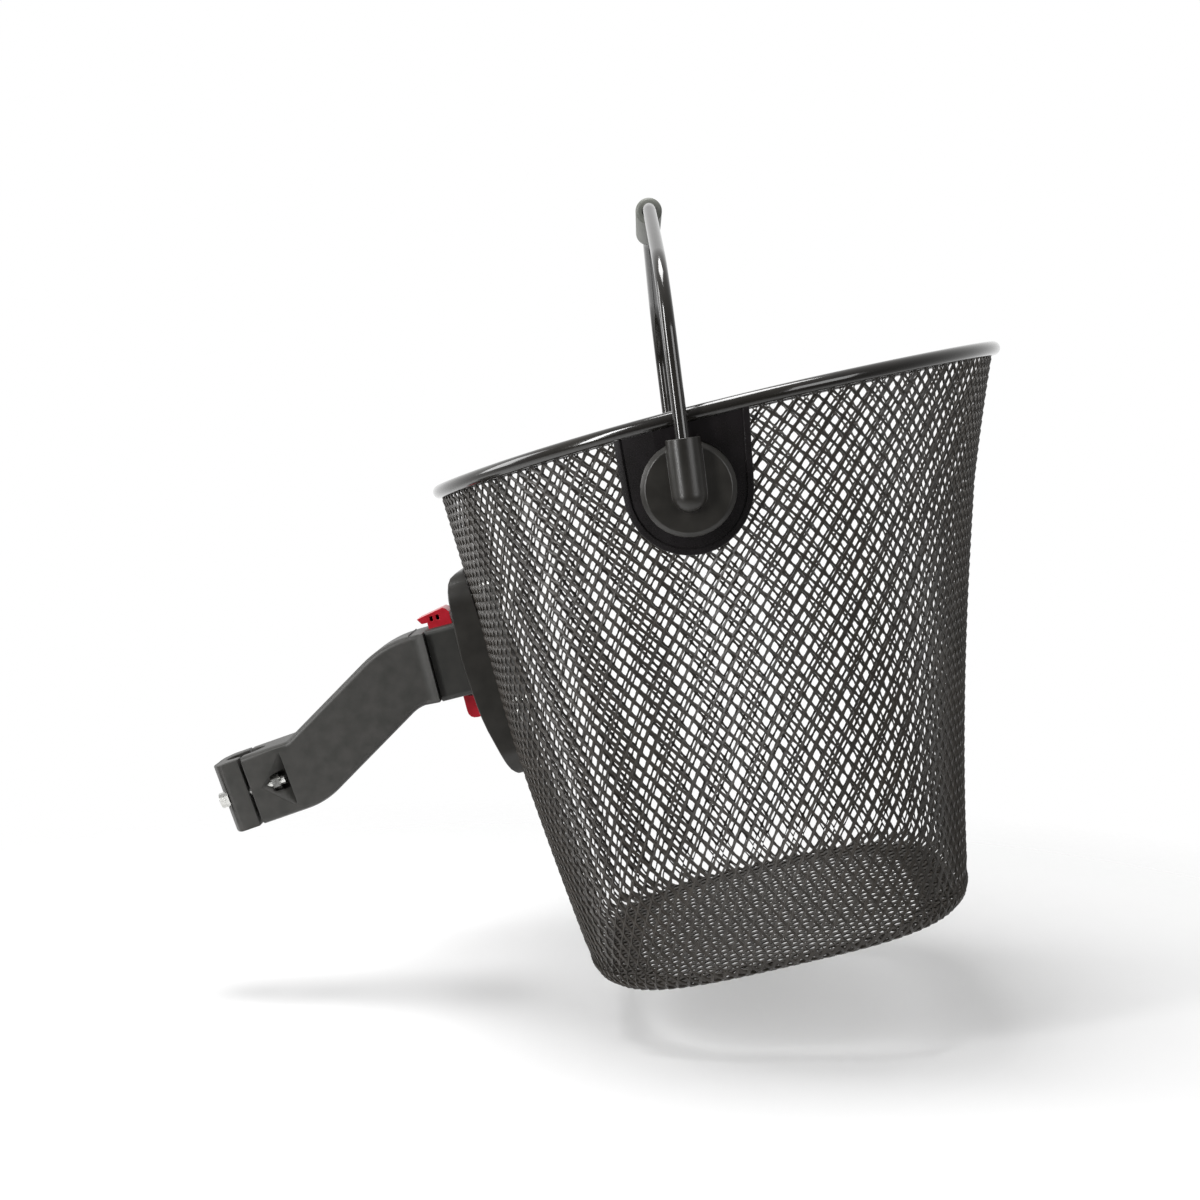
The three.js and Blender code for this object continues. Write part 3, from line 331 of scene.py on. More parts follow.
def drifting(name, low, high, drift, rough, rough_swing, grain, relief, coat):
    """A finish whose tone, roughness and relief wander. Drift, grain and relief are in mm."""
    finish = Finish(name)
    slow = finish.noise(drift * MM, 3.0)
    fine = finish.noise(grain * MM, 2.0)
    finish.feed("Base Color", finish.blend(slow, low, high))
    wander = fine * (1 - SLOW_SHARE) + slow * SLOW_SHARE - 0.5
    finish.feed("Roughness", wander * rough_swing + rough)
    finish.feed("Normal", finish.bump(fine, relief * MM))
    finish.constant("Coat Weight", coat)
    return finish


print("finishes wander by noise in Object coordinates")

# %% [markdown]
# ### The paints and plastics of this basket
# The expanded metal is powder coated, with a slightly pebbled satin film. The rim and the handle's
# rod are lacquered glossy black. The side plates are a glossier moulding, while the bracket, the
# pivot discs and the arm are dark grey plastics filled with glass fibre, which leaves them matt and
# faintly mottled. The release button and the latch are red.

# %% Powder coat, lacquer and mouldings
# Name: dark tone, light tone, drift, roughness, its swing, grain, relief, coat
PAINTS = {
    "mesh_paint": (
        (0.018, 0.015, 0.0115), (0.030, 0.0245, 0.019), 18, 0.38, 0.12, 0.5, 0.03, 0.0),
    "gloss_paint": (
        (0.012, 0.011, 0.010), (0.018, 0.016, 0.013), 25, 0.16, 0.06, 1.2, 0.01, 0.6),
    "plate_gloss": (
        (0.006, 0.005, 0.005), (0.010, 0.008, 0.009), 12, 0.28, 0.1, 1.0, 0.01, 0.0),
    "grey_moulding": (
        (0.014, 0.013, 0.011), (0.025, 0.023, 0.020), 9, 0.34, 0.16, 0.35, 0.02, 0.0),
    "arm_moulding": (
        (0.024, 0.024, 0.021), (0.038, 0.036, 0.033), 7, 0.45, 0.16, 0.35, 0.03, 0.0),
    "head_moulding": (
        (0.018, 0.018, 0.016), (0.026, 0.025, 0.022), 8, 0.42, 0.12, 0.35, 0.02, 0.0),
    "red_moulding": (
        (0.42, 0.006, 0.016), (0.56, 0.012, 0.030), 6, 0.32, 0.12, 0.4, 0.01, 0.2),
    "grip_sleeve": (
        (0.12, 0.125, 0.11), (0.17, 0.175, 0.155), 7, 0.5, 0.14, 0.6, 0.04, 0.0),
}
FINISHES = {name: drifting(name, *values).material for name, values in PAINTS.items()}
print("made", len(FINISHES), "paints and plastics")

# %% [markdown]
# ### Plated steel and spring wire
# Zinc plating is bright but cloudy, with fine scratches from the wrench and faint yellowish patches.
# Drawn spring wire is darker and smoother along its length.

# %% Zinc and spring steel
METALS = {
    "zinc_steel": ((0.56, 0.56, 0.53), (0.72, 0.72, 0.70), 3, 0.26, 0.18, 0.25, 0.008, 0.0),
    "spring_steel": ((0.34, 0.35, 0.36), (0.46, 0.47, 0.47), 3, 0.3, 0.12, 0.25, 0.008, 0.0),
}
for name, values in METALS.items():
    finish = drifting(name, *values)
    finish.constant("Metallic", 1.0)
    FINISHES[name] = finish.material
print("finishes:", ", ".join(sorted(FINISHES)))

# %% [markdown]
# ## One cell of expanded metal
# Expanded metal is a sheet that is slit in rows and pulled open, so it is one piece with diamond
# holes. We could draw strands one by one, but a ring round each hole is better: four rings meet in
# every knuckle and close the surface by themselves. The ring starts as a flat grid of eight by three
# faces. Its long way is wrapped round the hole, and its short way runs over the outer skin, through
# the hole and back over the inner skin. A little more metal stays in the hole's four corners, so the
# hole is rounder than its cell. Pulling the sheet open also tilts each strand, with its lower edge
# outwards, and that is what makes the small bright ledges on the side of a basket. In this lattice x
# counts columns, y counts rows, and z is a height over the sheet in millimetres.

# %% The ring round one hole
RING_SIDES = 8
PROFILE_STEPS = 3


def hole_ring(maker, given):
    """A diamond ring, one column wide and two rows high, with both skins and the hole's wall."""
    grid = maker.add("GeometryNodeMeshGrid", sockets={
        "Size X": float(RING_SIDES), "Size Y": float(PROFILE_STEPS),
        "Vertices X": RING_SIDES + 1, "Vertices Y": PROFILE_STEPS + 1})
    x, y, z = maker.add("GeometryNodeInputPosition").split()
    turn = (x + RING_SIDES / 2) * (2 * math.pi / RING_SIDES)
    cosine, sine = turn.math("COSINE"), turn.math("SINE")
    corner = (turn * 2).math("COSINE") ** 2
    inner = y.math("ABSOLUTE").math("LESS_THAN", 1.0)
    skin = 0.5 - y.math("GREATER_THAN", 0.0)
    inset = given["Hole inset"] + corner * given["Corner fill"]
    reach = (1 - inner * inset) / (cosine.math("ABSOLUTE") + sine.math("ABSOLUTE"))
    across = cosine * reach * 0.5
    down = sine * reach
    height = skin * given["Sheet thickness"] - down * inner * given["Strand tilt"]
    return maker.add("GeometryNodeSetPosition", sockets={
        "Geometry": grid, "Position": maker.join(across, down, height)})


print("a ring round a hole has", RING_SIDES * PROFILE_STEPS, "faces")

# %% [markdown]
# ## A staggered lattice of cells
# Every second row is shifted by half a column, as in a brick wall. One long line of points is enough:
# the row and the column come from each point's index. After the rings are instanced and realized,
# merging by distance knits them together. The sheet's cut edges are still open between the two skins,
# so the outer skin's loose edges are extruded down to the inner skin.

# %% Rings on a lattice, knitted and closed
KNIT = 0.01
CUT_MARGIN = 0.1


def lattice(maker, given, ring, chosen=None, closes=None):
    """A knitted sheet of rings. Closes says which of the loose edges are shut."""
    columns = given["Columns"]
    line = maker.add("GeometryNodeMeshLine", sockets={"Count": columns * given["Rows"]})
    index = maker.add("GeometryNodeInputIndex")
    row = ((index + 0.5) / columns).math("FLOOR")
    column = index - row * columns
    row_number = row + given["First row"]
    shift = row_number.math("MODULO", 2.0) * 0.5
    spread_out = maker.add("GeometryNodeSetPosition", sockets={
        "Geometry": line, "Position": maker.join(column + shift, row_number, 0.0)})
    sockets = {"Points": spread_out, "Instance": ring}
    if chosen is not None:
        sockets["Selection"] = chosen(*maker.add("GeometryNodeInputPosition").split())
    rings = maker.add("GeometryNodeInstanceOnPoints", sockets=sockets)
    loose = maker.add("GeometryNodeRealizeInstances", sockets={"Geometry": rings})
    knitted = maker.add(
        "GeometryNodeMergeByDistance", sockets={"Geometry": loose, "Distance": KNIT})
    x, y, z = maker.add("GeometryNodeInputPosition").split()
    faces = maker.add("GeometryNodeInputMeshEdgeNeighbors")
    selected = faces.math("LESS_THAN", 1.5) * z.math("GREATER_THAN", 0.0)
    if closes is not None:
        selected = selected * closes(y)
    down = maker.join(0.0, 0.0, -given["Sheet thickness"])
    shut = maker.add("GeometryNodeExtrudeMesh", {"mode": "EDGES"}, {
        "Mesh": knitted, "Selection": selected, "Offset": down, "Offset Scale": 1.0})
    return maker.add("GeometryNodeMergeByDistance", sockets={"Geometry": shut, "Distance": KNIT})


LATTICE_INPUTS = {
    "Columns": int, "Rows": int, "First row": int, "Hole inset": float, "Corner fill": float,
    "Sheet thickness": float, "Strand tilt": float,
}
print("the lattice has", len(LATTICE_INPUTS), "inputs")

# %% [markdown]
# ## Wrapping the lattice round the tub
# The number of columns is the same at every height, as the sheet is stretched and not cut, so the
# cells are wide and low near the rim, and narrow and tall near the floor. A column's place is a
# share of the way round. To space the columns evenly, we lay out a middle oval as a curve and sample
# it by length. A row's place is a length down the wall, which then rolls under the basket's rounded
# lower edge. The rows follow the bowed rim at the top and straighten on the way down.
#
# The tub doesn't simply taper. Below its top quarter it turns squarer and its sides draw in, its
# front has a slight waist, its rear tucks in below the bracket, and its floor lies a little flatter
# than its rim. Each of these has its own input, and all of them fade to nothing at the rim.

# %% The tub's formula in nodes
OVAL_STEPS = 720
TUCK_START = 0.24
SQUARING_POWER = 0.8
REAR_TUCK_POWER = 1.3
END_POWER = 3
MIDDLE_SQUARING = 0.4
TUB_INPUTS = {
    "Rim length": float, "Rim width": float, "Floor length": float, "Floor width": float,
    "Floor middle": float, "Basket height": float, "Wall depth": float, "Corner radius": float,
    "Rim bow": float, "Rim bow skew": float, "Sheet depth": float, "First row height": float,
    "Row growth": float, "Column drift": float, "Added power": float, "Front waist": float,
    "Front tuck": float, "Rear tuck": float, "Side tuck": float, "Floor tilt": float,
}


def oval(turn, power):
    """A point of the unit superellipse, for nodes."""
    cosine, sine = turn.math("COSINE"), turn.math("SINE")
    reach = cosine.math("ABSOLUTE") ** power + sine.math("ABSOLUTE") ** power
    scale = reach ** (-1 / power)
    return cosine * scale, sine * scale


def between(low, high, share):
    return low + (high - low) * share


def section(given, share):
    """Middle, half length, half width and power of the tub's oval at a share of its height."""
    low = ((share - TUCK_START) / (1 - TUCK_START)).math("MAXIMUM", 0.0)
    middle = between(given["Rim length"] * 0.5, given["Floor middle"], share)
    half_length = between(given["Rim length"], given["Floor length"], share) * 0.5
    half_width = between(given["Rim width"], given["Floor width"], share) * 0.5
    return (middle, half_length, half_width - given["Side tuck"] * low,
            OVAL_POWER + given["Added power"] * low ** SQUARING_POWER)


def drawn_in(given, share, along):
    """How far a point moves because the front and the rear of the oval are drawn in."""
    waist = share * (1 - share) * 4
    front = given["Front waist"] * waist + given["Front tuck"] * share
    rear = given["Rear tuck"] * (share * 2 - 1).math("MAXIMUM", 0.0) ** REAR_TUCK_POWER
    ahead = along.math("MAXIMUM", 0.0) ** END_POWER
    behind = (-along).math("MAXIMUM", 0.0) ** END_POWER
    return rear * behind - front * ahead


def even_turn(maker, given, share):
    """The angle at a share of the way round the tub, measured along its middle oval."""
    line = maker.add("GeometryNodeMeshLine", sockets={"Count": OVAL_STEPS + 1})
    angle = maker.add("GeometryNodeInputIndex") * (2 * math.pi / OVAL_STEPS)
    length = between(given["Rim length"], given["Floor length"], 0.5)
    width = between(given["Rim width"], given["Floor width"], 0.5)
    x, y = oval(angle, OVAL_POWER + given["Added power"] * MIDDLE_SQUARING)
    bent = maker.add("GeometryNodeSetPosition", sockets={
        "Geometry": line, "Position": maker.join(x * length, y * width, 0.0)})
    curve = maker.add("GeometryNodeMeshToCurve", sockets={"Mesh": bent})
    return maker.add(
        "GeometryNodeSampleCurve", {"mode": "FACTOR", "data_type": "FLOAT"},
        {"Curves": curve, "Value": angle, "Factor": share})


def row_depth(given, row):
    """Length down the wall at a row: the rows grow evenly taller."""
    return row * (given["First row height"] + row * given["Row growth"])


def tub_place(maker, given, turn, length, height):
    """A place on the tub at an angle, a length down the wall and a height over its sheet."""
    depth = length.math("MINIMUM", given["Wall depth"])
    rolled = (length - depth) / given["Corner radius"]
    bend = rolled.math("MINIMUM", math.pi / 2)
    flat = (rolled - bend) * given["Corner radius"]
    share = depth / given["Basket height"]
    outward = height - given["Sheet depth"]
    inset = given["Corner radius"] * (1 - bend.math("COSINE")) + flat
    offset = outward * bend.math("COSINE") - inset
    middle, half_length, half_width, power = section(given, share)
    along, across = oval(turn, power)
    x = middle + (half_length + offset) * along + drawn_in(given, share, along)
    y = (half_width + offset) * across
    cosine, sine = turn.math("COSINE"), turn.math("SINE")
    bow = given["Rim bow"] * sine * sine * (1 - given["Rim bow skew"] * cosine)
    reached = depth / given["Wall depth"]
    lean = (x - given["Floor middle"]) * given["Floor tilt"] * reached * reached
    below = depth + (given["Corner radius"] + outward) * bend.math("SINE")
    return maker.join(x, y, bow * (1 - reached) - lean - below)


print("the tub has", len(TUB_INPUTS), "inputs")

# %% [markdown]
# ## From the sheet to the wall
# The wall's tree makes a flat lattice, closes the edges where the sheet was cut, and then moves each
# point to its place on the tub. The first and the last column meet there and are merged.

# %% The tree of the wall


def wall_tree(material):
    maker, given = new_tree("Expanded metal round a tub", {**LATTICE_INPUTS, **TUB_INPUTS})
    last = given["First row"] + given["Rows"] - 1

    def at_the_cut(row):
        above = row.math("LESS_THAN", given["First row"] - CUT_MARGIN)
        return above + row.math("GREATER_THAN", last + CUT_MARGIN)

    sheet = lattice(maker, given, hole_ring(maker, given), closes=at_the_cut)
    column, row, height = maker.add("GeometryNodeInputPosition").split()
    length = row_depth(given, row)
    drift = given["Column drift"] * length / given["Basket height"]
    share = ((column + drift) / given["Columns"] + 1).math("FRACT")
    turn = even_turn(maker, given, share)
    placed = maker.add("GeometryNodeSetPosition", sockets={
        "Geometry": sheet, "Position": tub_place(maker, given, turn, length, height * MM)})
    joined = maker.add(
        "GeometryNodeMergeByDistance", sockets={"Geometry": placed, "Distance": KNIT * MM})
    turned = maker.add("GeometryNodeFlipFaces", sockets={"Mesh": joined})
    return end_tree(maker, turned, material)


tub_mesh_tree = wall_tree(FINISHES["mesh_paint"])
print("the wall's tree has", len(tub_mesh_tree.nodes), "nodes")

# %% [markdown]
# ## Counting rows and columns
# On this basket 124 columns go round, about 8 mm apart at the rim. Half a cell is 4.1 mm high near
# the rim and 5.5 mm near the floor. From these two heights follows how many rows fit on the wall, and
# the next few rows roll under the rounded edge. The sheet is wrapped a little askew, by two and a
# half columns on the way down. The wall is grown in two halves, so that neither is too heavy.

# %% Grow the wall
COLUMNS = 124
TOP_ROW_HEIGHT = 4.1 * MM
LOW_ROW_HEIGHT = 5.5 * MM
CORNER_ROWS = 5
COLUMN_DRIFT = 2.5

wall_rows = round(wall_depth / ((TOP_ROW_HEIGHT + LOW_ROW_HEIGHT) / 2))
row_growth = (LOW_ROW_HEIGHT - TOP_ROW_HEIGHT) / (2 * wall_rows)
top_row_height = wall_depth / wall_rows - row_growth * wall_rows
tub_sizes = {
    "Columns": COLUMNS, "Hole inset": 0.175, "Corner fill": 0.09, "Sheet thickness": 0.8,
    "Strand tilt": 0.6, "Rim length": rim_length, "Rim width": rim_width,
    "Floor length": floor_length, "Floor width": floor_width, "Floor middle": floor_middle,
    "Basket height": basket_height, "Wall depth": wall_depth, "Corner radius": CORNER_RADIUS,
    "Rim bow": RIM_BOW, "Rim bow skew": RIM_BOW_SKEW, "Sheet depth": WALL_THICKNESS / 2,
    "First row height": top_row_height, "Row growth": row_growth, "Column drift": COLUMN_DRIFT,
    "Added power": 1.16, "Front waist": 8.4 * MM, "Front tuck": 4.3 * MM, "Rear tuck": 8.5 * MM,
    "Side tuck": 10 * MM, "Floor tilt": 0.018,
}


def dress_as(piece, body, slot, *nodes):
    """The piece rides on a body and stands for CAD nodes."""
    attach(piece, body)
    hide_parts(*nodes)


half_rows = wall_rows // 2
halves = (
    ("wall_mesh_upper", 1, half_rows),
    ("wall_mesh_lower", half_rows + 1, wall_rows - half_rows - 1))
for name, first, count in halves:
    piece = grow(name, tub_mesh_tree, {**tub_sizes, "First row": first, "Rows": count}, RIM)
    dress_as(piece, "basket", "mesh_paint", "basket_wall")
print(wall_rows, "rows of", COLUMNS, "cells on the wall")

# %% [markdown]
# ## The floor
# The floor is a shallow tray of the same metal, pressed over a form and welded into the wall. Its
# rounded edge runs the same tree as the wall, starting at the row where the wall stops. The flat part
# is a plain lattice, of which only the cells inside the tray's flat oval are kept. Pressing closes the
# holes a little, so they are set in further here than on the wall.

# %% Grow the tray's rounded edge and its flat
EDGE_HOLE_INSET = 0.22
FLAT_HOLE_INSET = 0.24
edge_sizes = {
    **tub_sizes, "Rows": CORNER_ROWS, "First row": wall_rows + 1, "Hole inset": EDGE_HOLE_INSET}
edge = grow("tray_edge", tub_mesh_tree, edge_sizes, RIM)

FLAT_INPUTS = {
    "Column pitch": float, "Row pitch": float, "Flat margin": float, "Flat height": float}


def flat_tree(material):
    maker, given = new_tree(
        "Flat sheet of expanded metal", {**LATTICE_INPUTS, **TUB_INPUTS, **FLAT_INPUTS})
    share = given["Wall depth"] / given["Basket height"]
    middle, half_length, half_width, power = section(given, share)
    border = given["Corner radius"] - given["Flat margin"]

    def spot(column, row):
        x = (row - given["Rows"] * 0.5) * given["Row pitch"]
        y = (column - given["Columns"] * 0.5) * given["Column pitch"]
        return x, y

    def inside(column, row, height):
        x, y = spot(column, row)
        along = (x.math("ABSOLUTE") / (half_length - border)) ** power
        across = (y.math("ABSOLUTE") / (half_width - border)) ** power
        return (along + across).math("LESS_THAN", 1.0)

    sheet = lattice(maker, given, hole_ring(maker, given), chosen=inside)
    column, row, height = maker.add("GeometryNodeInputPosition").split()
    x, y = spot(column, row)
    x = x + drawn_in(given, share, x / (half_length - border))
    lean = (x + middle - given["Floor middle"]) * given["Floor tilt"]
    placed = maker.add("GeometryNodeSetPosition", sockets={
        "Geometry": sheet,
        "Position": maker.join(x + middle, y, given["Flat height"] - lean - height * MM)})
    return end_tree(maker, placed, material)


FLAT_COLUMN_PITCH = 8.3 * MM
FLAT_ROW_PITCH = 4.5 * MM
FLAT_LIFT = 1.0 * MM
flat_sizes = {
    **tub_sizes, "Columns": math.ceil(floor_width / FLAT_COLUMN_PITCH),
    "Rows": math.ceil(floor_length / FLAT_ROW_PITCH), "First row": 0, "Strand tilt": 0.4,
    "Hole inset": FLAT_HOLE_INSET,
    "Column pitch": FLAT_COLUMN_PITCH, "Row pitch": FLAT_ROW_PITCH, "Flat margin": 2 * MM,
    "Flat height": FLAT_LIFT - basket_height + WALL_THICKNESS / 2,
}
flat = grow("tray_flat", flat_tree(FINISHES["mesh_paint"]), flat_sizes, RIM)


def merge(name, material, *parts):
    """One object out of several of the same material."""
    work = bmesh.new()
    for part in parts:
        work.from_mesh(part.data)
        bpy.data.objects.remove(part)
    for face in work.faces:
        face.material_index = 0
    mesh = bpy.data.meshes.new(name)
    work.to_mesh(mesh)
    work.free()
    mesh.materials.append(material)
    return link_object(name, mesh)


floor_mesh = merge("floor_mesh", FINISHES["mesh_paint"], edge, flat)
dress_as(floor_mesh, "basket", "mesh_paint", "basket_floor")
print("the floor has", len(floor_mesh.data.polygons), "faces")

# %% [markdown]
# ## The rim and the handle's rod
# Both are tubes that follow a curve. The rim's curve is the tub's own formula, with the bow that
# lifts it in the middle of both sides. The rod's curve is a line with six points: straight legs,
# sloping shoulders and a level crown. Its four inner corners are filleted.

# %% Two tubes
RIM_STEPS = 360
TUBE_SIDES = 24
ROD_POINTS = 6
BEND_STEPS = 20
RIM_TUBE_INPUTS = {
    "Rim length": float, "Rim width": float, "Rim bow": float, "Rim bow skew": float,
    "Tube radius": float,
}
ROD_INPUTS = {
    "Half width": float, "Half crown": float, "Seat": float, "Shoulder": float, "Height": float,
    "Shoulder bend": float, "Crown bend": float, "Tube radius": float,
}


def sweep(maker, given, curve, capped):
    circle = maker.add("GeometryNodeCurvePrimitiveCircle", {"mode": "RADIUS"}, {
        "Resolution": TUBE_SIDES, "Radius": given["Tube radius"]})
    tube = maker.add("GeometryNodeCurveToMesh", sockets={
        "Curve": curve, "Profile Curve": circle, "Fill Caps": capped})
    return maker.add("GeometryNodeSetShadeSmooth", {"domain": "FACE"}, {"Geometry": tube})


def rim_tree(material):
    maker, given = new_tree("Tube round a bowed oval", RIM_TUBE_INPUTS)
    ring = maker.add("GeometryNodeMeshCircle", sockets={"Vertices": RIM_STEPS})
    turn = maker.add("GeometryNodeInputIndex") * (2 * math.pi / RIM_STEPS)
    cosine, sine = turn.math("COSINE"), turn.math("SINE")
    along, across = oval(turn, OVAL_POWER)
    x = (along + 1) * given["Rim length"] * 0.5
    y = across * given["Rim width"] * 0.5
    bow = given["Rim bow"] * sine * sine * (1 - given["Rim bow skew"] * cosine)
    bent = maker.add(
        "GeometryNodeSetPosition", sockets={"Geometry": ring, "Position": maker.join(x, y, bow)})
    curve = maker.add("GeometryNodeMeshToCurve", sockets={"Mesh": bent})
    return end_tree(maker, sweep(maker, given, curve, False), material)


def rod_tree(material):
    maker, given = new_tree("Bent rod of a handle", ROD_INPUTS)
    line = maker.add("GeometryNodeMeshLine", sockets={"Count": ROD_POINTS})
    place = maker.add("GeometryNodeInputIndex") - (ROD_POINTS - 1) / 2
    side = place.math("ABSOLUTE")
    crown = side.math("LESS_THAN", 1.0)
    seat = side.math("GREATER_THAN", 2.0)
    y = place.math("SIGN") * between(given["Half width"], given["Half crown"], crown)
    z = between(between(given["Shoulder"], given["Height"], crown), given["Seat"], seat)
    bent = maker.add(
        "GeometryNodeSetPosition", sockets={"Geometry": line, "Position": maker.join(0.0, y, z)})
    curve = maker.add("GeometryNodeMeshToCurve", sockets={"Mesh": bent})
    bend = between(given["Shoulder bend"], given["Crown bend"], crown)
    round_curve = maker.add("GeometryNodeFilletCurve", {"mode": "POLY"}, {
        "Curve": curve, "Count": BEND_STEPS, "Radius": bend})
    return end_tree(maker, sweep(maker, given, round_curve, True), material)


rim = grow("rim_lacquered", rim_tree(FINISHES["gloss_paint"]), {
    "Rim length": rim_length, "Rim width": rim_width, "Rim bow": RIM_BOW,
    "Rim bow skew": RIM_BOW_SKEW, "Tube radius": RIM_RADIUS}, RIM)
dress_as(rim, "basket", "gloss_paint", "rim_tube")

ROD_RADIUS = 3.25 * MM
ROD_HALF_CROWN = 70 * MM
ROD_SHOULDER = 97 * MM
rod_low, rod_high = spread("handle_rod", HANDLE)
rod = grow("rod_lacquered", rod_tree(FINISHES["gloss_paint"]), {
    "Half width": rod_high.y - ROD_RADIUS, "Half crown": ROD_HALF_CROWN, "Seat": rod_low.z,
    "Shoulder": ROD_SHOULDER, "Height": rod_high.z - ROD_RADIUS, "Shoulder bend": 45 * MM,
    "Crown bend": 60 * MM, "Tube radius": ROD_RADIUS}, HANDLE)
dress_as(rod, "handle", "gloss_paint", "handle_rod")
print("the rod stands", round(rod_high.z / MM), "mm over its pivot")

# %% [markdown]
# ## Turned pieces
# A profile spun round an axis gives the grip. Its profile is a closed loop of (radius, along) pairs,
# and its ends are rounded.

# %% The grip
TURN_STEPS = 64
CORNER_STEPS = 5


def turned(name, profile, axis, material, matrix):
    """A closed profile of (radius, along) pairs, spun round an axis through the origin."""
    work = bmesh.new()
    out = axis.orthogonal().normalized()
    corners = [work.verts.new(out * radius + axis * along) for radius, along in profile]
    loop = [work.edges.new((corners[i - 1], corners[i])) for i in range(len(corners))]
    bmesh.ops.spin(
        work, geom=corners + loop, cent=(0, 0, 0), axis=axis, angle=2 * math.pi, steps=TURN_STEPS)
    bmesh.ops.remove_doubles(work, verts=work.verts, dist=MM / 1000)
    bmesh.ops.recalc_face_normals(work, faces=work.faces)
    mesh = bpy.data.meshes.new(name)
    work.to_mesh(mesh)
    work.free()
    mesh.transform(matrix)
    mesh.materials.append(material)
    return link_object(name, mesh)


def quarter(radius, along, size, start):
    """Points of a rounded corner, a quarter turn from a start angle round its centre."""
    turns = [start + math.pi / 2 * step / CORNER_STEPS for step in range(CORNER_STEPS + 1)]
    return [(radius + size * math.cos(turn), along + size * math.sin(turn)) for turn in turns]


GRIP_ROUND = 1.8 * MM
GRIP_BORE = ROD_RADIUS + 0.3 * MM
grip_low, grip_high = spread("handle_grip", HANDLE)
grip_radius, grip_end = grip_high.z / 2 - grip_low.z / 2, grip_high.y
out, end = grip_radius - GRIP_ROUND, grip_end - GRIP_ROUND
grip_profile = (
    [(GRIP_BORE, -grip_end)] + quarter(out, -end, GRIP_ROUND, -math.pi / 2)
    + quarter(out, end, GRIP_ROUND, 0.0) + [(GRIP_BORE, grip_end)])
grip_place = HANDLE @ Matrix.Translation((0, 0, (grip_low.z + grip_high.z) / 2))
grip = turned("grip_sleeve_round", grip_profile, ACROSS, FINISHES["grip_sleeve"], grip_place)
print("the grip is", round(2 * grip_end / MM), "mm long")

# %% [markdown]
# ## Softening the CAD model's edges
# The mouldings keep the CAD model's shape, but real mouldings have no knife edges. Each is copied,
# its flat areas are tidied, its sharp edges are rounded by a bevel, and its normals are weighted so
# that the large faces stay flat. The bevel is applied straight away, so what is left is a plain mesh.

# %% Edge rounding
EDGE_ANGLE = math.radians(34)
TIDY_ANGLE = math.radians(0.8)
BEVEL_SEGMENTS = 2
FACE_WEIGHT = 80


def shade(mesh):
    """Smooth faces, with sharp edges where two faces meet at a large angle."""
    mesh.shade_smooth()
    mesh.set_sharp_from_angle(angle=EDGE_ANGLE)


def applied(piece):
    """Turns a piece's modifiers into plain mesh."""
    evaluated = piece.evaluated_get(bpy.context.evaluated_depsgraph_get())
    mesh = bpy.data.meshes.new_from_object(evaluated)
    piece.modifiers.clear()
    piece.data = mesh
    mesh.name = piece.name


def soften(piece, width):
    """Rounds a piece's sharp edges."""
    bevel = piece.modifiers.new("bevel", "BEVEL")
    bevel.width = width
    bevel.segments = BEVEL_SEGMENTS
    bevel.limit_method = "ANGLE"
    bevel.angle_limit = EDGE_ANGLE
    bevel.use_clamp_overlap = False
    applied(piece)
    shade(piece.data)
    weights = piece.modifiers.new("weights", "WEIGHTED_NORMAL")
    weights.keep_sharp = True
    weights.weight = FACE_WEIGHT
    applied(piece)


def copy_node(name, node):
    """A merged copy of a CAD node's mesh, with flat areas made of few faces."""
    work = bmesh.new()
    work.from_mesh(frame["nodes"][node].data)
    bmesh.ops.remove_doubles(work, verts=work.verts, dist=MM / 200)
    bmesh.ops.dissolve_limit(
        work, angle_limit=TIDY_ANGLE, verts=work.verts, edges=work.edges, delimit=set())
    bmesh.ops.recalc_face_normals(work, faces=work.faces)
    mesh = bpy.data.meshes.new(name)
    work.to_mesh(mesh)
    work.free()
    return link_object(name, mesh)


shade(grip.data)
dress_as(grip, "handle", "grip_sleeve", "handle_grip")
print("edges above", round(math.degrees(EDGE_ANGLE)), "degrees are rounded")

# %% Round the edges of the mouldings
ROUNDED = [
    ("side_plate_left", "basket", "plate_gloss", 0.35 * MM),
    ("side_plate_right", "basket", "plate_gloss", 0.35 * MM),
    ("pivot_disc_left", "handle", "grey_moulding", 0.5 * MM),
    ("pivot_disc_right", "handle", "grey_moulding", 0.5 * MM),
    ("rear_bracket", "basket", "grey_moulding", 0.6 * MM),
    ("bracket_back_plate", "basket", "grey_moulding", 0.5 * MM),
    ("adapter_arm", "adapter", "arm_moulding", 0.6 * MM),
    ("clamp_cap", "adapter", "arm_moulding", 0.6 * MM),
    ("adapter_head", "adapter", "head_moulding", 0.5 * MM),
    ("release_button", "release", "red_moulding", 0.3 * MM),
    ("latch_slider", "release", "red_moulding", 0.3 * MM),
]
for node, body, slot, width in ROUNDED:
    piece = copy_node(node + "_moulded", node)
    piece.data.materials.append(FINISHES[slot])
    soften(piece, width)
    dress_as(piece, body, slot, node)
    print(piece.name, len(piece.data.polygons), "faces")

# %% [markdown]
# ## The return spring
# The spring's foot stands in the adapter's head, and its top pushes the release button up.

# %% The spring between the head and the button
spring = copy_node("release_spring_coil", "release_spring")
spring.data.materials.append(FINISHES["spring_steel"])
spring.data.shade_smooth()
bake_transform(spring)
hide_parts("release_spring")

# %% [markdown]
# ## Screws, bolts, nuts and washers
# The small hardware keeps its CAD shape and only takes its finish.

# %% Finishes for the nodes that stay
plain = [part for part in frame["record"]["subparts"] if part["material_slot"] == "zinc_steel"]
for part in plain:
    node = frame["nodes"][part["node"]]
    node.data.materials.clear()
    node.data.materials.append(FINISHES[part["material_slot"]])
print(len(plain), "nodes keep their shape")

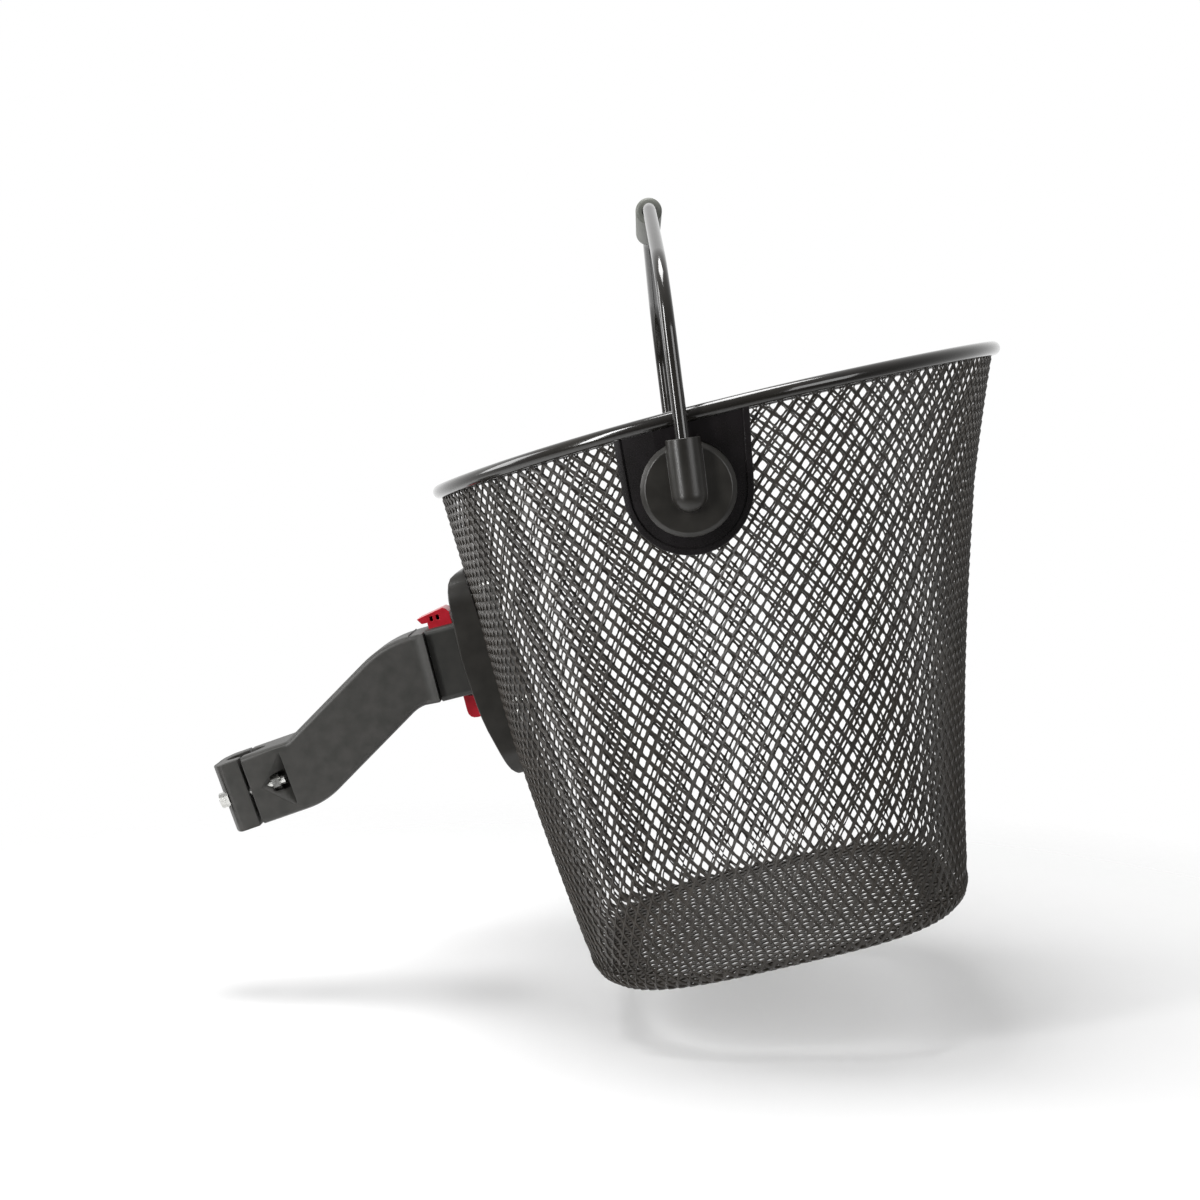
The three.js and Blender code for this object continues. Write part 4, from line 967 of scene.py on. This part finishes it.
# %% [markdown]
# ## Studio
# A pale sheet lies under the basket and fades out towards its edge, so there is no horizon line. The
# camera sees a plain white backdrop everywhere. Reflections see it too, fully on the far side and
# less and less towards the camera's side, where a real studio is dark. The backdrop's own light on
# the object is weak and comes from above and behind, and soft lamps do the rest.

# %% The sheet and the backdrop
SHEET_CENTRE = 0.19
SHEET_HEIGHT = -0.118
SHEET_RADIUS = 0.62
SHEET_SIDES = 96
FADE_SOFTNESS = 0.1
FADE_GAIN = 1.6
SKY_ABOVE = 0.3
SKY_BEHIND = 0.45
SKY_BASE = 0.03
SKY_POWER = 2
MIRRORED_POWER = 3
sheet_finish = Finish("studio_sheet")
x, y, z = sheet_finish.place.split()
off_centre = x - SHEET_CENTRE
distance = (off_centre * off_centre + y * y).math("SQRT") / SHEET_RADIUS
cover = (1.0 - distance).math("SMOOTH_MIN", 1.0, FADE_SOFTNESS) * FADE_GAIN
sheet_finish.constant("Base Color", (0.9, 0.9, 0.9, 1.0))
sheet_finish.constant("Roughness", 0.9)
sheet_finish.feed("Alpha", cover.math("MINIMUM", 1.0).math("MAXIMUM", 0.0))
work = bmesh.new()
bmesh.ops.create_circle(
    work, cap_ends=True, segments=SHEET_SIDES, radius=SHEET_RADIUS,
    matrix=Matrix.Translation((SHEET_CENTRE, 0, SHEET_HEIGHT)))
sheet_mesh = bpy.data.meshes.new("studio_sheet")
work.to_mesh(sheet_mesh)
work.free()
sheet_mesh.materials.append(sheet_finish.material)
sheet_piece = link_object("studio_sheet", sheet_mesh)

world = bpy.data.worlds.new("studio")
bpy.context.scene.world = world
world.use_nodes = True
sky = Maker(world.node_tree)
background = world.node_tree.nodes["Background"]
seen = sky.add("ShaderNodeLightPath")
side, depth, height = sky.add("ShaderNodeTexCoord").split()
far, high = depth * 0.5 + 0.5, height * 0.5 + 0.5
fill = high ** SKY_POWER * SKY_ABOVE + far ** SKY_POWER * SKY_BEHIND + SKY_BASE
mirrored = seen.out("Is Glossy Ray") + seen.out("Is Transmission Ray")
white = (seen + mirrored * far ** MIRRORED_POWER).math("MINIMUM", 1.0)
strength = fill + white * (1 - fill)
world.node_tree.links.new(strength.socket, background.inputs["Strength"])
background.inputs["Color"].default_value = (1.0, 1.0, 1.0, 1.0)
print("the sheet lies at", SHEET_HEIGHT, "m")

# %% [markdown]
# ### Lamps
# One small softbox hangs above. A tall strip stands at the left and draws the long highlights on the
# rod and the arm. Two weak boxes, behind on the left and in front on the right, open the shadows.

# %% Softboxes
AIM = Vector((0.2, 0, 0.08))
# Name: place, width, height, watts
LAMPS = {
    "softbox_above": ((0.1, -0.1, 1.2), 0.55, 0.55, 11),
    "strip_left": ((-0.75, -0.9, 0.4), 0.2, 1.1, 14),
    "softbox_rear_left": ((-1.1, 0.2, 0.5), 0.5, 0.8, 6),
    "softbox_right": ((1.0, -1.0, 0.4), 0.6, 0.6, 4),
}
for name, (place, width, height, watts) in LAMPS.items():
    data = bpy.data.lights.new(name, "AREA")
    data.shape = "RECTANGLE"
    data.size, data.size_y = width, height
    data.energy = watts
    light = link_object(name, data)
    light.location = place
    light.rotation_euler = (AIM - Vector(place)).to_track_quat("-Z", "Y").to_euler()
print(len(LAMPS), "softboxes")

# %% [markdown]
# ## Camera
# The photo was taken from a little over a metre away, square to the bicycle's side, at the height of
# the basket's upper half.

# %% The camera at the photo's angle
EYE = Vector((0.2096, -1.08, 0.1884))
LOOK_AT = Vector((0.1875, 0, 0.102))
camera_data = bpy.data.cameras.new("camera")
camera_data.lens = 60
camera_data.sensor_width = 36
camera = link_object("camera", camera_data)
camera.location = EYE
camera.rotation_euler = (LOOK_AT - EYE).to_track_quat("-Z", "Y").to_euler()
bpy.context.scene.camera = camera
bpy.context.scene.view_settings.view_transform = "Standard"

print("camera at", [round(value, 3) for value in EYE])
